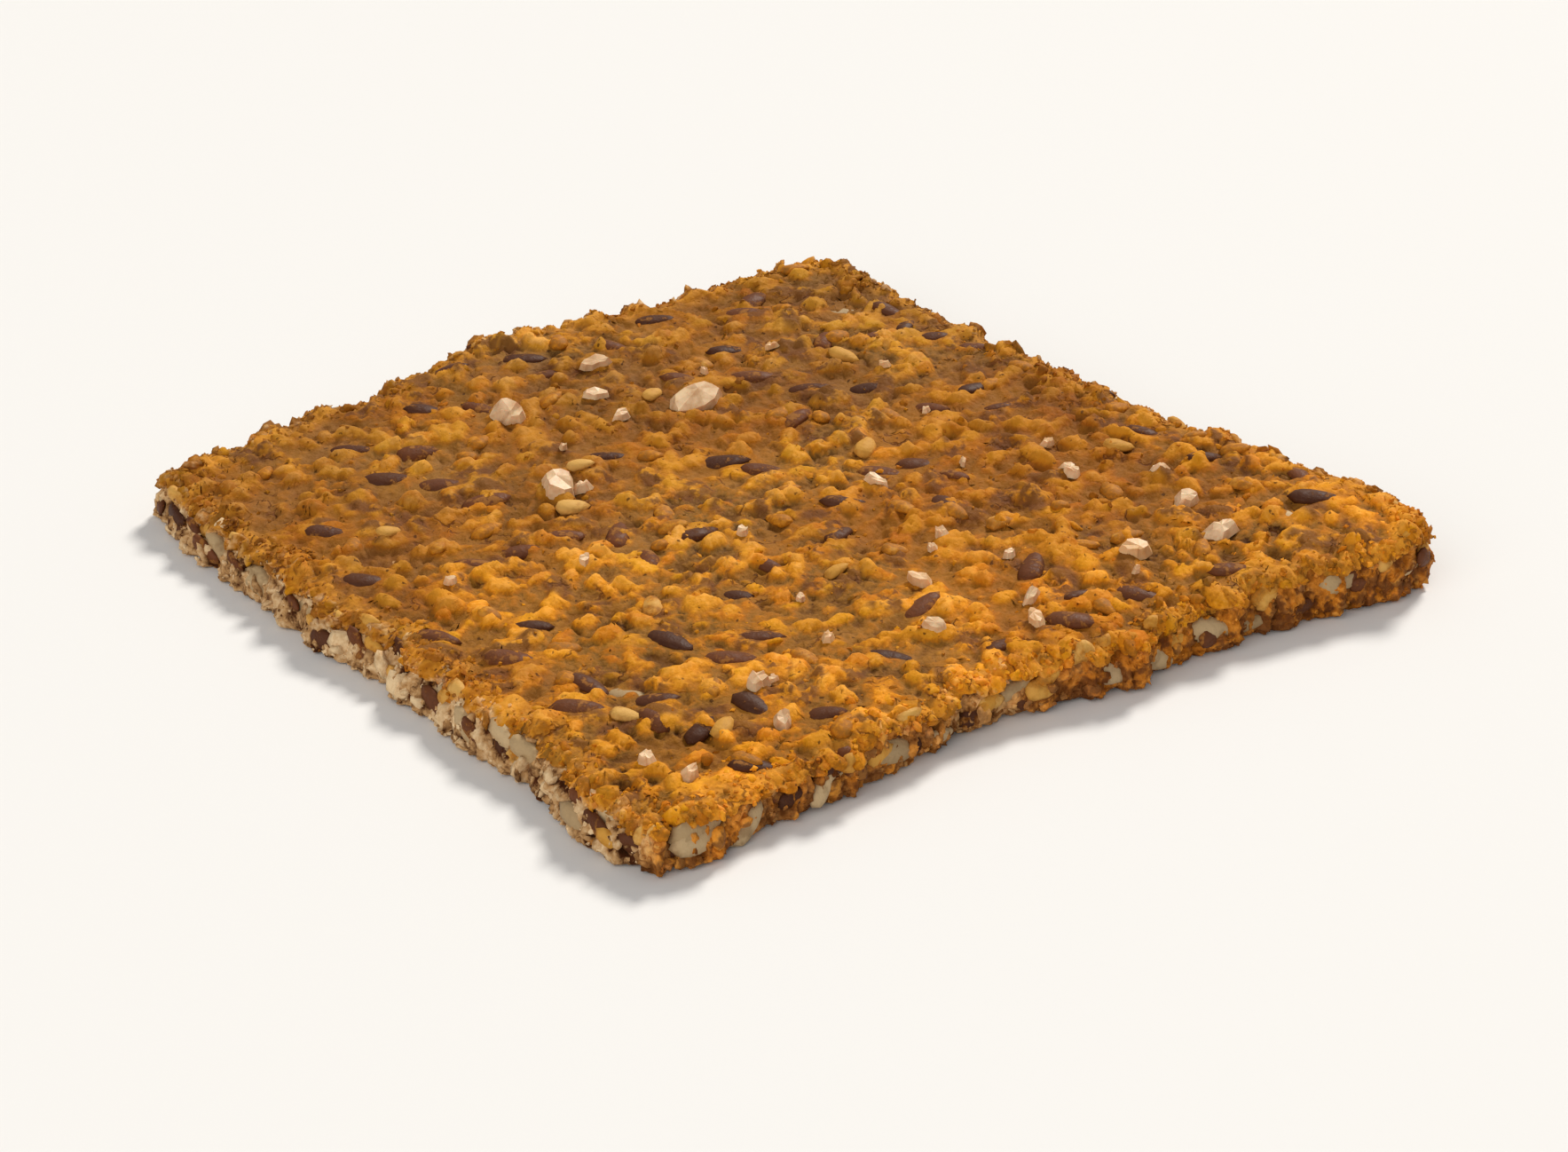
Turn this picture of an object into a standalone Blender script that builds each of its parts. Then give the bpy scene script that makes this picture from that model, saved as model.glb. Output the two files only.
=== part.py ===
"""One square of seeded crispbread.

A thin baked slab, cut from a larger sheet, with a lumpy browned top, crumbled cut edges and a flat underside.
Flax, sesame and sunflower seeds and flakes of salt stand out of it and are fused to it, as baked.
X runs from the near corner to the right corner, Y from the near corner to the left corner, Z is up.
The origin is under the middle of the slab, on the plane that it rests on.
"""

import math

import bmesh
import bpy
import numpy as np
from mathutils import Euler, Matrix, Vector

MM = 0.001

# The four corners of the cut, in mm from the middle: near, right, far, left.
CORNERS = ((-38.3, -37.2), (38.0, -39.8), (35.5, 37.0), (-38.1, 35.5))
# How far each cut wanders outwards from the straight line between its corners, in mm, at equal steps.
SIDE_BOWS = (
    (0.0, -0.9, -1.5, -3.9, -2.6, -1.9, -2.9, -0.7, 0.0),
    (0.0, 1.1, 0.7, -1.0, -1.0, -1.5, -1.0, -0.3, 0.0),
    (0.0, 1.4, 1.6, 2.2, 3.4, 2.2, 1.2, 1.3, 0.0),
    (0.0, 0.5, 0.0, 0.7, 0.1, 0.0, -0.7, 1.0, 0.0),
)
CORNER_SOFTNESS = 2.2  # mm, the reach of the smoothing that rounds the corners
CRUMBLE_WAVES = (7, 95)  # the coarsest and finest wave of the crumbled edge, in waves round the outline
CRUMBLE_HEIGHT = 0.34  # mm, the typical depth of that crumbling

THICKNESS = 4.6  # mm, in the middle
THICKER_TO_RIGHT = 0.75  # mm more at the +X edge, and as much less at the -X edge
SWELLS = ((-3.5, 37.0, 15.0, 0.8), (32.5, -31.0, 13.0, 0.5), (3.5, -7.0, 22.0, -0.4))
# Each swell: X and Y of its middle, its reach and its height, in mm.

LUMP_COUNT = 620
LUMP_RADIUS = (1.1, 2.3)  # mm
LUMP_HEIGHT = (0.25, 0.75)  # mm

GRID = 40  # faces along each side of the top sheet
# The cut face as rings under the top sheet: inset from the outline and share of the slab's height, in order down.
RIM_INSET = 0.95  # mm, how far the top sheet stops short of the outline
CUT_FACE = ((0.1, 0.83), (-0.15, 0.5), (0.1, 0.2), (0.7, 0.0))
CRAG_DEPTH = 0.33  # mm, the roughness of the cut face

# Seeds: length, width and thickness in mm.
FLAX = (4.7, 2.3, 1.15)
SESAME = (3.1, 1.9, 1.1)
SUNFLOWER = (6.2, 3.2, 2.2)
FLAX_SCATTERED = 22
SESAME_SCATTERED = 30
FLAX_IN_CUTS = 18
SUNFLOWER_IN_CUTS = 10
CLEAR_OF_EACH_OTHER = 4.3  # mm between the middles of two scattered things
CLEAR_OF_RIM = 3.0  # mm

# The flax seeds that stand out most: X and Y in mm and the turn of the long axis in degrees.
FLAX_SHOWN = (
    (5.1, -32.4, -45),
    (8.5, -23.1, 35),
    (33.2, -29.8, -55),
    (19.5, -34.2, -10),
    (1.0, 7.9, -50),
    (4.1, 3.6, -30),
    (-22.9, 22.8, -40),
    (-19.1, 18.2, -35),
    (-19.2, -20.2, -42),
    (-21.0, -14.6, -80),
    (-32.1, -9.8, -50),
    (-14.2, -2.9, 60),
    (14.3, 17.4, -30),
    (-2.8, -22.6, -70),
    (31.5, 13.6, -30),
    (-1.1, 33.3, -35),
    (-32.0, 16.9, -40),
    (26.5, 0.4, -20),
)
# The flakes of salt that stand out most: X, Y and length in mm.
SALT_SHOWN = (
    (5.5, 17.6, 4.2),
    (-13.0, 11.1, 3.6),
    (-9.0, 24.7, 2.9),
    (2.6, 28.5, 3.0),
    (21.6, -13.0, 2.3),
    (8.1, -4.1, 2.6),
    (24.9, -23.4, 2.5),
    (15.4, -27.5, 2.7),
    (22.9, -29.5, 3.4),
    (0.0, -18.2, 2.6),
    (-5.1, -27.4, 2.3),
    (-22.2, -30.6, 1.8),
    (-32.0, -32.0, 1.8),
)
SALT_THICKNESS = 0.9  # mm


def clear_scene():
    for obj in list(bpy.data.objects):
        bpy.data.objects.remove(obj, do_unlink=True)


def outline(per_side):
    """Points round the cut, per_side to a side, anticlockwise from the near corner, centred on the origin."""
    share = np.arange(per_side) / per_side
    sides = []
    for start, end, bows in zip(CORNERS, CORNERS[1:] + CORNERS[:1], SIDE_BOWS):
        run = np.subtract(end, start)
        outward = np.array((run[1], -run[0])) / np.hypot(*run)
        bow = np.interp(share, np.linspace(0, 1, len(bows)), bows)
        sides.append(np.add(start, np.outer(share, run)) + np.outer(bow, outward))
    points = np.concatenate(sides)

    # A bell curve along the outline rounds its corners and the joints of its bows.
    count = len(points)
    step = np.hypot(*np.diff(points, axis=0).T).mean()
    away = np.minimum(np.arange(count), count - np.arange(count)) * step
    bell = np.exp(-0.5 * (away / CORNER_SOFTNESS) ** 2)
    bell /= bell.sum()
    smooth = [np.fft.ifft(np.fft.fft(c) * np.fft.fft(bell)).real for c in points.T]
    points = np.stack(smooth, axis=1)

    # Waves of many lengths with seeded phases crumble it.
    draw = np.random.default_rng(11)
    around = np.arange(count) / count
    waves = np.arange(*CRUMBLE_WAVES)
    phases = draw.uniform(0, 2 * math.pi, len(waves))
    sizes = waves**-0.5
    sizes = CRUMBLE_HEIGHT * math.sqrt(2) * sizes / np.sqrt((sizes**2).sum())
    crumble = (sizes * np.cos(2 * math.pi * np.outer(around, waves) + phases)).sum(axis=1)
    along = np.roll(points, -1, axis=0) - np.roll(points, 1, axis=0)
    outward = np.stack([along[:, 1], -along[:, 0]], axis=1)
    outward /= np.hypot(*outward.T)[:, None]
    points = points + outward * crumble[:, None]
    return points - (points.max(axis=0) + points.min(axis=0)) / 2


def inset(points, distance):
    """The closed outline moved inwards by that distance, in mm. A negative distance moves it outwards."""
    reach = 3
    along = np.roll(points, -reach, axis=0) - np.roll(points, reach, axis=0)
    inward = np.stack([-along[:, 1], along[:, 0]], axis=1)
    inward /= np.hypot(*inward.T)[:, None]
    return points + inward * distance


def lumps():
    """Dough-covered seeds and crumbs as round lumps: X, Y, radius and height of each, in mm."""
    draw = np.random.default_rng(23)
    half = np.abs(outline(GRID)).max(axis=0)
    places = draw.uniform(-half, half, (LUMP_COUNT, 2))
    radii = draw.uniform(*LUMP_RADIUS, LUMP_COUNT)
    heights = draw.uniform(*LUMP_HEIGHT, LUMP_COUNT)
    return np.column_stack([places, radii, heights])


def top_height(x, y, lump_list):
    """Height of the baked top over the underside at the points x, y, all in mm."""
    x, y = np.asarray(x, float), np.asarray(y, float)
    height = THICKNESS + THICKER_TO_RIGHT * x / CORNERS[1][0]
    for swell_x, swell_y, reach, rise in SWELLS:
        height += rise * np.exp(-((x - swell_x) ** 2 + (y - swell_y) ** 2) / reach**2)
    apart = np.hypot(x[..., None] - lump_list[:, 0], y[..., None] - lump_list[:, 1]) / lump_list[:, 2]
    domes = lump_list[:, 3] * np.sqrt(np.clip(1 - apart**2, 0, None))
    return height + domes.max(axis=-1) - LUMP_HEIGHT[1] / 2


def coons(u, v, loop, per_side):
    """The point at u, v (0 to 1 each) of the sheet stretched between the four sides of the loop."""
    closed = np.vstack([loop, loop[:1]])
    steps = np.linspace(0, 1, per_side + 1)

    def side(number, share):
        part = closed[number * per_side : (number + 1) * per_side + 1]
        return np.array([np.interp(share, steps, part[:, 0]), np.interp(share, steps, part[:, 1])])

    near, right, far, left = loop[0], loop[per_side], loop[2 * per_side], loop[3 * per_side]
    between_v = (1 - v) * side(0, u) + v * side(2, 1 - u)
    between_u = (1 - u) * side(3, 1 - v) + u * side(1, v)
    flat = (1 - u) * ((1 - v) * near + v * left) + u * ((1 - v) * right + v * far)
    return between_v + between_u - flat


def place_on_ring(u, v, per_side):
    """Number of the outline's point that a border vertex of the unit square at u, v belongs to."""
    if v < 1e-6:
        return round(u * per_side)
    if u > 1 - 1e-6:
        return per_side + round(v * per_side)
    if v > 1 - 1e-6:
        return 3 * per_side - round(u * per_side)
    return (4 * per_side - round(v * per_side)) % (4 * per_side)


def build_slab(lump_list):
    """The slab: a lumpy top sheet, its border extruded down the cut face ring by ring, and a flat underside."""
    mesh = bmesh.new()
    bmesh.ops.create_grid(mesh, x_segments=GRID, y_segments=GRID, size=0.5)
    border = [edge for edge in mesh.edges if edge.is_boundary]
    for level in range(1, len(CUT_FACE) + 1):
        ring = bmesh.ops.extrude_edge_only(mesh, edges=border)["geom"]
        for vert in (item for item in ring if isinstance(item, bmesh.types.BMVert)):
            vert.co.z = -level
        border = [item for item in ring if isinstance(item, bmesh.types.BMEdge)]
    bmesh.ops.contextual_create(mesh, geom=border)

    rim = outline(GRID)
    sheet_edge = inset(rim, RIM_INSET)
    rings = [inset(rim, distance) for distance, _ in CUT_FACE]
    draw = np.random.default_rng(37)
    crags = draw.uniform(-CRAG_DEPTH, CRAG_DEPTH, (len(CUT_FACE), 4 * GRID, 3))
    for vert in mesh.verts:
        u, v = vert.co.x + 0.5, vert.co.y + 0.5
        level = round(-vert.co.z)
        if level == 0:
            x, y = coons(u, v, sheet_edge, GRID)
            vert.co = Vector((x, y, float(top_height(x, y, lump_list)))) * MM
            continue
        place = place_on_ring(u, v, GRID) % (4 * GRID)
        x, y = rings[level - 1][place]
        z = CUT_FACE[level - 1][1] * float(top_height(*sheet_edge[place], lump_list))
        crag = Vector(crags[level - 1][place])
        if level == len(CUT_FACE):
            crag.z = 0.0
        vert.co = (Vector((x, y, z)) + crag) * MM
    bmesh.ops.recalc_face_normals(mesh, faces=mesh.faces)

    data = bpy.data.meshes.new("crispbread")
    mesh.to_mesh(data)
    mesh.free()
    slab = bpy.data.objects.new("crispbread", data)
    bpy.context.scene.collection.objects.link(slab)
    return slab


def seed_mesh(name, size, taper):
    """A seed as a flattened ball, narrower towards one end by the taper."""
    mesh = bmesh.new()
    bmesh.ops.create_uvsphere(mesh, u_segments=6, v_segments=4, radius=0.5)
    # The ball's poles turn to lie at the seed's two ends.
    bmesh.ops.rotate(mesh, verts=mesh.verts, matrix=Matrix.Rotation(math.pi / 2, 3, "Y"))
    for vert in mesh.verts:
        narrow = 1 - taper * (vert.co.x + 0.5)
        vert.co = Vector((vert.co.x * size[0], vert.co.y * size[1] * narrow, vert.co.z * size[2])) * MM
    data = bpy.data.meshes.new(name)
    mesh.to_mesh(data)
    mesh.free()
    return data


def flake_mesh(name, draw):
    """A flake of salt one unit long: an uneven flat shard with a smaller top than base."""
    mesh = bmesh.new()
    bmesh.ops.create_cone(
        mesh, cap_ends=True, cap_tris=False, segments=5, radius1=0.5, radius2=0.3, depth=1.0
    )
    for vert in mesh.verts:
        vert.co.x *= draw.uniform(0.85, 1.1)
        vert.co.y *= draw.uniform(0.55, 0.8)
        vert.co.z *= draw.uniform(0.8, 1.1)
    data = bpy.data.meshes.new(name)
    mesh.to_mesh(data)
    mesh.free()
    return data


def add_topping(name, data, place, turn, scale, collection):
    obj = bpy.data.objects.new(name, data)
    obj.location = Vector(place) * MM
    obj.rotation_euler = Euler(turn)
    obj.scale = scale
    collection.objects.link(obj)
    return obj


def scatter_on_top(count, taken, draw):
    """Places on the top, in mm, clear of each other, of the rim and of what is there already."""
    half = np.abs(outline(GRID)).max(axis=0) - CLEAR_OF_RIM - 1.5
    found = []
    while len(found) < count:
        place = draw.uniform(-half, half)
        if all(np.hypot(*(place - other)) > CLEAR_OF_EACH_OTHER for other in taken):
            found.append(place)
            taken.append(place)
    return found


def add_top_seeds(collection, lump_list, draw):
    flax = seed_mesh("flax", FLAX, 0.35)
    sesame = seed_mesh("sesame", SESAME, 0.45)
    taken = [np.array(row[:2]) for row in FLAX_SHOWN + SALT_SHOWN]
    rows = [(flax, FLAX, x, y, math.radians(turn)) for x, y, turn in FLAX_SHOWN]
    for x, y in scatter_on_top(FLAX_SCATTERED, taken, draw):
        rows.append((flax, FLAX, x, y, draw.uniform(0, math.pi)))
    for x, y in scatter_on_top(SESAME_SCATTERED, taken, draw):
        rows.append((sesame, SESAME, x, y, draw.uniform(0, math.pi)))
    for number, (data, size, x, y, turn) in enumerate(rows):
        z = float(top_height(x, y, lump_list)) + 0.12 * size[2]
        tilt = draw.uniform(-0.22, 0.22, 2)
        add_topping(f"seed_{number}", data, (x, y, z), (tilt[0], tilt[1], turn), (1, 1, 1), collection)


def add_salt(collection, lump_list, draw):
    for number, (x, y, length) in enumerate(SALT_SHOWN):
        data = flake_mesh(f"flake_{number}", draw)
        z = float(top_height(x, y, lump_list)) + 0.3 * SALT_THICKNESS
        turn = (draw.uniform(-0.2, 0.2), draw.uniform(-0.2, 0.2), draw.uniform(0, 2 * math.pi))
        scale = Vector((length, length, SALT_THICKNESS)) * MM
        add_topping(f"salt_{number}", data, (x, y, z), turn, scale, collection)


def add_cut_seeds(collection, lump_list, draw):
    """Seeds that the cut laid bare: they lie in the cut face, along it, half sunk."""
    flax = seed_mesh("flax_cut", FLAX, 0.35)
    sunflower = seed_mesh("sunflower_cut", SUNFLOWER, 0.5)
    kinds = [(flax, FLAX)] * FLAX_IN_CUTS + [(sunflower, SUNFLOWER)] * SUNFLOWER_IN_CUTS
    fine = 8  # points of the outline to each step of the grid
    rim = outline(GRID * fine)
    order = draw.permutation(len(kinds))
    for number, kind in enumerate(order):
        data, size = kinds[kind]
        # One to each stretch of the outline, away from the corners' tips.
        share = (number + draw.uniform(0.3, 0.7)) / len(kinds)
        place = int(share * len(rim))
        along = rim[(place + fine) % len(rim)] - rim[place - fine]
        inward = np.array((-along[1], along[0])) / np.hypot(*along)
        x, y = rim[place] + inward * (0.22 * size[1] + 0.35)
        height = float(top_height(*(rim[place] + inward * RIM_INSET), lump_list))
        z = height * draw.uniform(0.42, 0.62)
        turn = (draw.uniform(-0.4, 0.4), draw.uniform(-0.25, 0.25), math.atan2(along[1], along[0]))
        add_topping(f"cut_seed_{number}", data, (x, y, z), turn, (1, 1, 1), collection)


def shells(mesh):
    """The faces of the mesh in groups: two faces share a group when an edge with no third face joins them."""
    groups, seen = [], set()
    for first in mesh.faces:
        if first in seen:
            continue
        seen.add(first)
        group, waiting = [], [first]
        while waiting:
            face = waiting.pop()
            group.append(face)
            for edge in face.edges:
                if len(edge.link_faces) != 2:
                    continue
                for other in edge.link_faces:
                    if other not in seen:
                        seen.add(other)
                        waiting.append(other)
        groups.append(group)
    return groups


def keep_one_shell(data):
    """Fills every sealed hollow and drops every loose scrap: only the shell with the most faces stays."""
    mesh = bmesh.new()
    mesh.from_mesh(data)
    bmesh.ops.triangulate(mesh, faces=mesh.faces)
    groups = sorted(shells(mesh), key=len)
    spare = [face for group in groups[:-1] for face in group]
    bmesh.ops.delete(mesh, geom=spare, context="FACES")
    mesh.to_mesh(data)
    mesh.free()


def fuse(slab, collection):
    """Joins everything in the collection to the slab and removes what was joined."""
    join = slab.modifiers.new("toppings", "BOOLEAN")
    join.operation = "UNION"
    join.operand_type = "COLLECTION"
    join.collection = collection
    join.solver = "MANIFOLD"
    bpy.context.view_layer.update()
    graph = bpy.context.evaluated_depsgraph_get()
    fused = bpy.data.meshes.new_from_object(slab.evaluated_get(graph))
    slab.modifiers.clear()
    slab.data = fused
    keep_one_shell(fused)
    for obj in list(collection.objects):
        bpy.data.objects.remove(obj, do_unlink=True)
    bpy.data.collections.remove(collection)


def crust_material():
    material = bpy.data.materials.new("baked_dough")
    material.use_nodes = True
    shader = material.node_tree.nodes["Principled BSDF"]
    shader.inputs["Base Color"].default_value = (0.42, 0.2, 0.05, 1)
    shader.inputs["Roughness"].default_value = 0.7
    shader.inputs["Metallic"].default_value = 0.0
    return material


def main():
    clear_scene()
    lump_list = lumps()
    slab = build_slab(lump_list)
    toppings = bpy.data.collections.new("toppings")
    bpy.context.scene.collection.children.link(toppings)
    draw = np.random.default_rng(5)
    add_top_seeds(toppings, lump_list, draw)
    add_salt(toppings, lump_list, draw)
    add_cut_seeds(toppings, lump_list, draw)
    fuse(slab, toppings)
    slab.data.name = "crispbread"
    slab.data.materials.clear()
    slab.data.materials.append(crust_material())


main()
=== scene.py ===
# Seeded crispbread: the looks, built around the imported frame.
# One square slab of baked seed dough, with its seeds, its salt flakes and its crumbs as pieces of their own.
# Shapes are worked out in millimetres and become metres where a mesh is made.
# X runs along the near cut edge, Y along the left one, and Z is up from the plane the slab lies on.

import math

import bpy
import numpy as np
from mathutils import Matrix, Vector


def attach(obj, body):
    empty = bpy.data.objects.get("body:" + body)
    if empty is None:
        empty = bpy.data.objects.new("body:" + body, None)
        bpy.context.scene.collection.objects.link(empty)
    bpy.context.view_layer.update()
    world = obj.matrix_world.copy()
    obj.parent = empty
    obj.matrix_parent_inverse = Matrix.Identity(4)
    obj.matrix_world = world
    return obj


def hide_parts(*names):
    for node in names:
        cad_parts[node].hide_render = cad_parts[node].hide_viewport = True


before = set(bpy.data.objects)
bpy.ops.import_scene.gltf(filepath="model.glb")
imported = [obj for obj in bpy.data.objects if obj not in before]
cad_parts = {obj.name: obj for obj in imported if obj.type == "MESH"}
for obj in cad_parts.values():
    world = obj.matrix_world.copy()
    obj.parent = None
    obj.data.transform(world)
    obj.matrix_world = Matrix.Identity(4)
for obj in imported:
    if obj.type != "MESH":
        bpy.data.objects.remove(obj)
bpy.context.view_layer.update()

mm = 0.001
body = "root"
node = "crispbread"


# Numbers on a grid

def unit(vectors):
    # Each vector over its own length.
    return vectors / np.linalg.norm(vectors, axis=-1)[..., None]


def smoothNoise(points, wavelength, seed):
    # Gradient noise on a cubic lattice one wavelength apart and turned at random: each corner of a cell
    # gives its seeded direction times the offset from it, blended by 6t^5 - 15t^4 + 10t^3. The sum is
    # stretched by a quarter and kept between -1 and 1.
    size = 32
    draw = np.random.default_rng(seed)
    directions = unit(draw.normal(size=(size, size, size, 3)))
    turn = np.linalg.qr(draw.normal(size=(3, 3)))[0]
    place = np.asarray(points) @ turn / wavelength + draw.uniform(0, size, 3)
    cell = np.floor(place).astype(int)
    part = place - cell
    blend = part**3 * (part * (part * 6 - 15) + 10)
    total = 0.0
    for corner in np.ndindex(2, 2, 2):
        index = (cell + corner) % size
        weight = np.prod(np.where(corner, blend, 1 - blend), axis=-1)
        direction = directions[index[..., 0], index[..., 1], index[..., 2]]
        total = total + weight * ((part - corner) * direction).sum(axis=-1)
    return np.clip(1.25 * total, -1, 1)


def noiseSum(points, waves, seed):
    # Noises of several wavelengths, each times its height.
    total = 0.0
    for number, (wavelength, height) in enumerate(waves):
        total = total + height * smoothNoise(points, wavelength, seed + number)
    return total


def pitDepth(points, pits):
    # Pits where a noise lies above a level: from nothing there to the full depth where the noise is one.
    noise = smoothNoise(points, pits["wavelength"], pits["seed"])
    return pits["depth"] * np.clip((noise - pits["above"]) / (1 - pits["above"]), 0, 1)


def blurred(field, reach):
    # The field convolved with a bell curve of that reach, given in cells, by way of its spectrum.
    rows, columns = field.shape
    fy = np.fft.fftfreq(rows)[:, None]
    fx = np.fft.rfftfreq(columns)[None, :]
    bell = np.exp(-2 * (math.pi * reach) ** 2 * (fx**2 + fy**2))
    return np.fft.irfft2(np.fft.rfft2(field) * bell, s=field.shape)


def ovalPlace(x, y, centreX, centreY, turn, length, width):
    # How far points lie along and across a turned oval, where one is its rim.
    dx, dy = x - centreX, y - centreY
    along = (dx * math.cos(turn) + dy * math.sin(turn)) / (length / 2)
    across = (dy * math.cos(turn) - dx * math.sin(turn)) / (width / 2)
    return along, across


# The plan of the slab, as in the solid

slabPlan = {
    "corners": ((-38.3, -37.2), (38.0, -39.8), (35.5, 37.0), (-38.1, 35.5)),  # near, right, far, left
    "bows": (
        (0.0, -0.9, -1.5, -3.9, -2.6, -1.9, -2.9, -0.7, 0.0),
        (0.0, 1.1, 0.7, -1.0, -1.0, -1.5, -1.0, -0.3, 0.0),
        (0.0, 1.4, 1.6, 2.2, 3.4, 2.2, 1.2, 1.3, 0.0),
        (0.0, 0.5, 0.0, 0.7, 0.1, 0.0, -0.7, 1.0, 0.0),
    ),
    "cornerSoftness": 2.2,
    "slopes": (0.1, 0.5, 0.8, 1.9),  # mm that the foot of each cut stands out past its rim
    "slopeEnds": (0.12, 0.88),  # share of a side where its own slope starts and ends
    "crumble": {"waves": (7, 95), "height": 0.34, "seed": 11},
    "fineCrumble": {"waves": (95, 430), "height": 0.13, "seed": 12},
    "thickness": 4.6,
    "thickerToRight": 0.75,
    "halfWidth": 38.0,
    # X, Y, reach and rise of broad swells.
    "swells": ((-3.5, 37.0, 15.0, 0.8), (32.5, -31.0, 13.0, 0.5), (3.5, -7.0, 22.0, -0.4)),
}


def wavesRound(around, waves, height, seed):
    # A sum of cosines with seeded phases, each weaker by the root of its number, scaled to a typical height.
    numbers = np.arange(*waves)
    phases = np.random.default_rng(seed).uniform(0, 2 * math.pi, len(numbers))
    sizes = numbers**-0.5
    sizes = height * math.sqrt(2) * sizes / np.sqrt((sizes**2).sum())
    return (sizes * np.cos(2 * math.pi * np.outer(around, numbers) + phases)).sum(axis=1)


def outwardOf(points, reach):
    # The outward direction at each point of a closed outline, from the chord between neighbours that far off.
    along = np.roll(points, -reach, axis=0) - np.roll(points, reach, axis=0)
    outward = np.stack([along[:, 1], -along[:, 0]], axis=1)
    return outward / np.hypot(*outward.T)[:, None]


def cutOutline(perSide, fine=False):
    # Four straight cuts that bow outwards, softened by a bell curve and crumbled by waves along the outline.
    plan = slabPlan
    share = np.arange(perSide) / perSide
    sides = []
    for start, end, bows in zip(plan["corners"], plan["corners"][1:] + plan["corners"][:1], plan["bows"]):
        run = np.subtract(end, start)
        outward = np.array((run[1], -run[0])) / np.hypot(*run)
        bow = np.interp(share, np.linspace(0, 1, len(bows)), bows)
        sides.append(np.add(start, np.outer(share, run)) + np.outer(bow, outward))
    points = np.concatenate(sides)
    count = len(points)
    step = np.hypot(*np.diff(points, axis=0).T).mean()
    away = np.minimum(np.arange(count), count - np.arange(count)) * step
    bell = np.exp(-0.5 * (away / plan["cornerSoftness"]) ** 2)
    bell /= bell.sum()
    points = np.stack([np.fft.ifft(np.fft.fft(c) * np.fft.fft(bell)).real for c in points.T], axis=1)
    around = np.arange(count) / count
    crumble = wavesRound(around, **plan["crumble"])
    if fine:
        crumble = crumble + wavesRound(around, **plan["fineCrumble"])
    points = points + outwardOf(points, 1) * crumble[:, None]
    return points - (points.max(axis=0) + points.min(axis=0)) / 2


def slopeRound(perSide):
    # How far the foot stands out past the rim: each side's own slope, blended at the corners.
    ends = (np.arange(4)[:, None] + slabPlan["slopeEnds"]).ravel()
    return np.interp(np.arange(4 * perSide) / perSide, ends, np.repeat(slabPlan["slopes"], 2), period=4)


def edgeRound(perSide):
    # The fine outline, its outward directions over a chord of three fortieths of a side, and its slope.
    rim = cutOutline(perSide, fine=True)
    return rim, outwardOf(rim, round(3 * perSide / 40)), slopeRound(perSide)


# The baked top, as fields over the plan

topRelief = {
    # Lengths in mm. Waves are pairs of wavelength and height.
    "cell": 0.1, "half": 42.0,  # the fields reach that far from the middle to each side
    "solidLumps": {"count": 620, "radius": (1.1, 2.3), "height": (0.25, 0.75), "share": 0.6, "seed": 23},
    "coatedSesame": {
        "count": 900, "length": (1.6, 3.2), "width": (1.2, 2.2), "height": (0.25, 0.9), "seed": 41,
    },
    "coatedFlax": {"count": 170, "length": (4.0, 5.2), "width": (1.9, 2.5), "height": (0.2, 0.5), "seed": 42},
    "grains": {"count": 7800, "length": (0.5, 1.7), "height": (0.08, 0.34), "seed": 43},
    "wrinkles": ((3.2, 0.2), (1.6, 0.12)), "wrinkleSeed": 66,
    "wrinkleTurn": ((0.77, 0.64, 0), (-0.64, 0.77, 0), (0, 0, 1)), "wrinkleStretch": (0.35, 1.0, 1.0),
    "crumb": ((2.0, 0.27), (1.0, 0.2), (0.5, 0.14), (7.5, 0.3), (4.2, 0.26)), "crumbSeed": 52,
    "pits": {"wavelength": 1.7, "above": 0.42, "depth": 0.75, "seed": 60},
    "cracks": {"wavelength": 3.0, "half": 0.06, "depth": 0.55, "patches": 6.0, "seed": 61,
               "patchAbove": 0.02, "patchSpan": 0.22},
    "lowered": 0.12,
    "soften": 0.07,
    "hollowReach": 1.1, "hollowSpan": 0.32,  # round a point, what its own height is compared with
    "lumpReach": (0.55, 3.0), "lumpSpan": 0.22,  # the same for whole lumps and hollows
    "bedReach": 0.9, "seatReach": 0.8,
    # Round a placed flax seed, in shares of its half size: where its bed ends and over what it fades, and how
    # wide the moat is. Depths are in mm.
    "bed": {"end": 1.45, "fade": 0.5, "smoothed": 0.8, "lowered": 0.05},
    "moat": {"width": 0.22, "depth": 0.22, "goneAt": 0.4},  # goneAt is how deep a seed sits, 0 to 1
}


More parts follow.
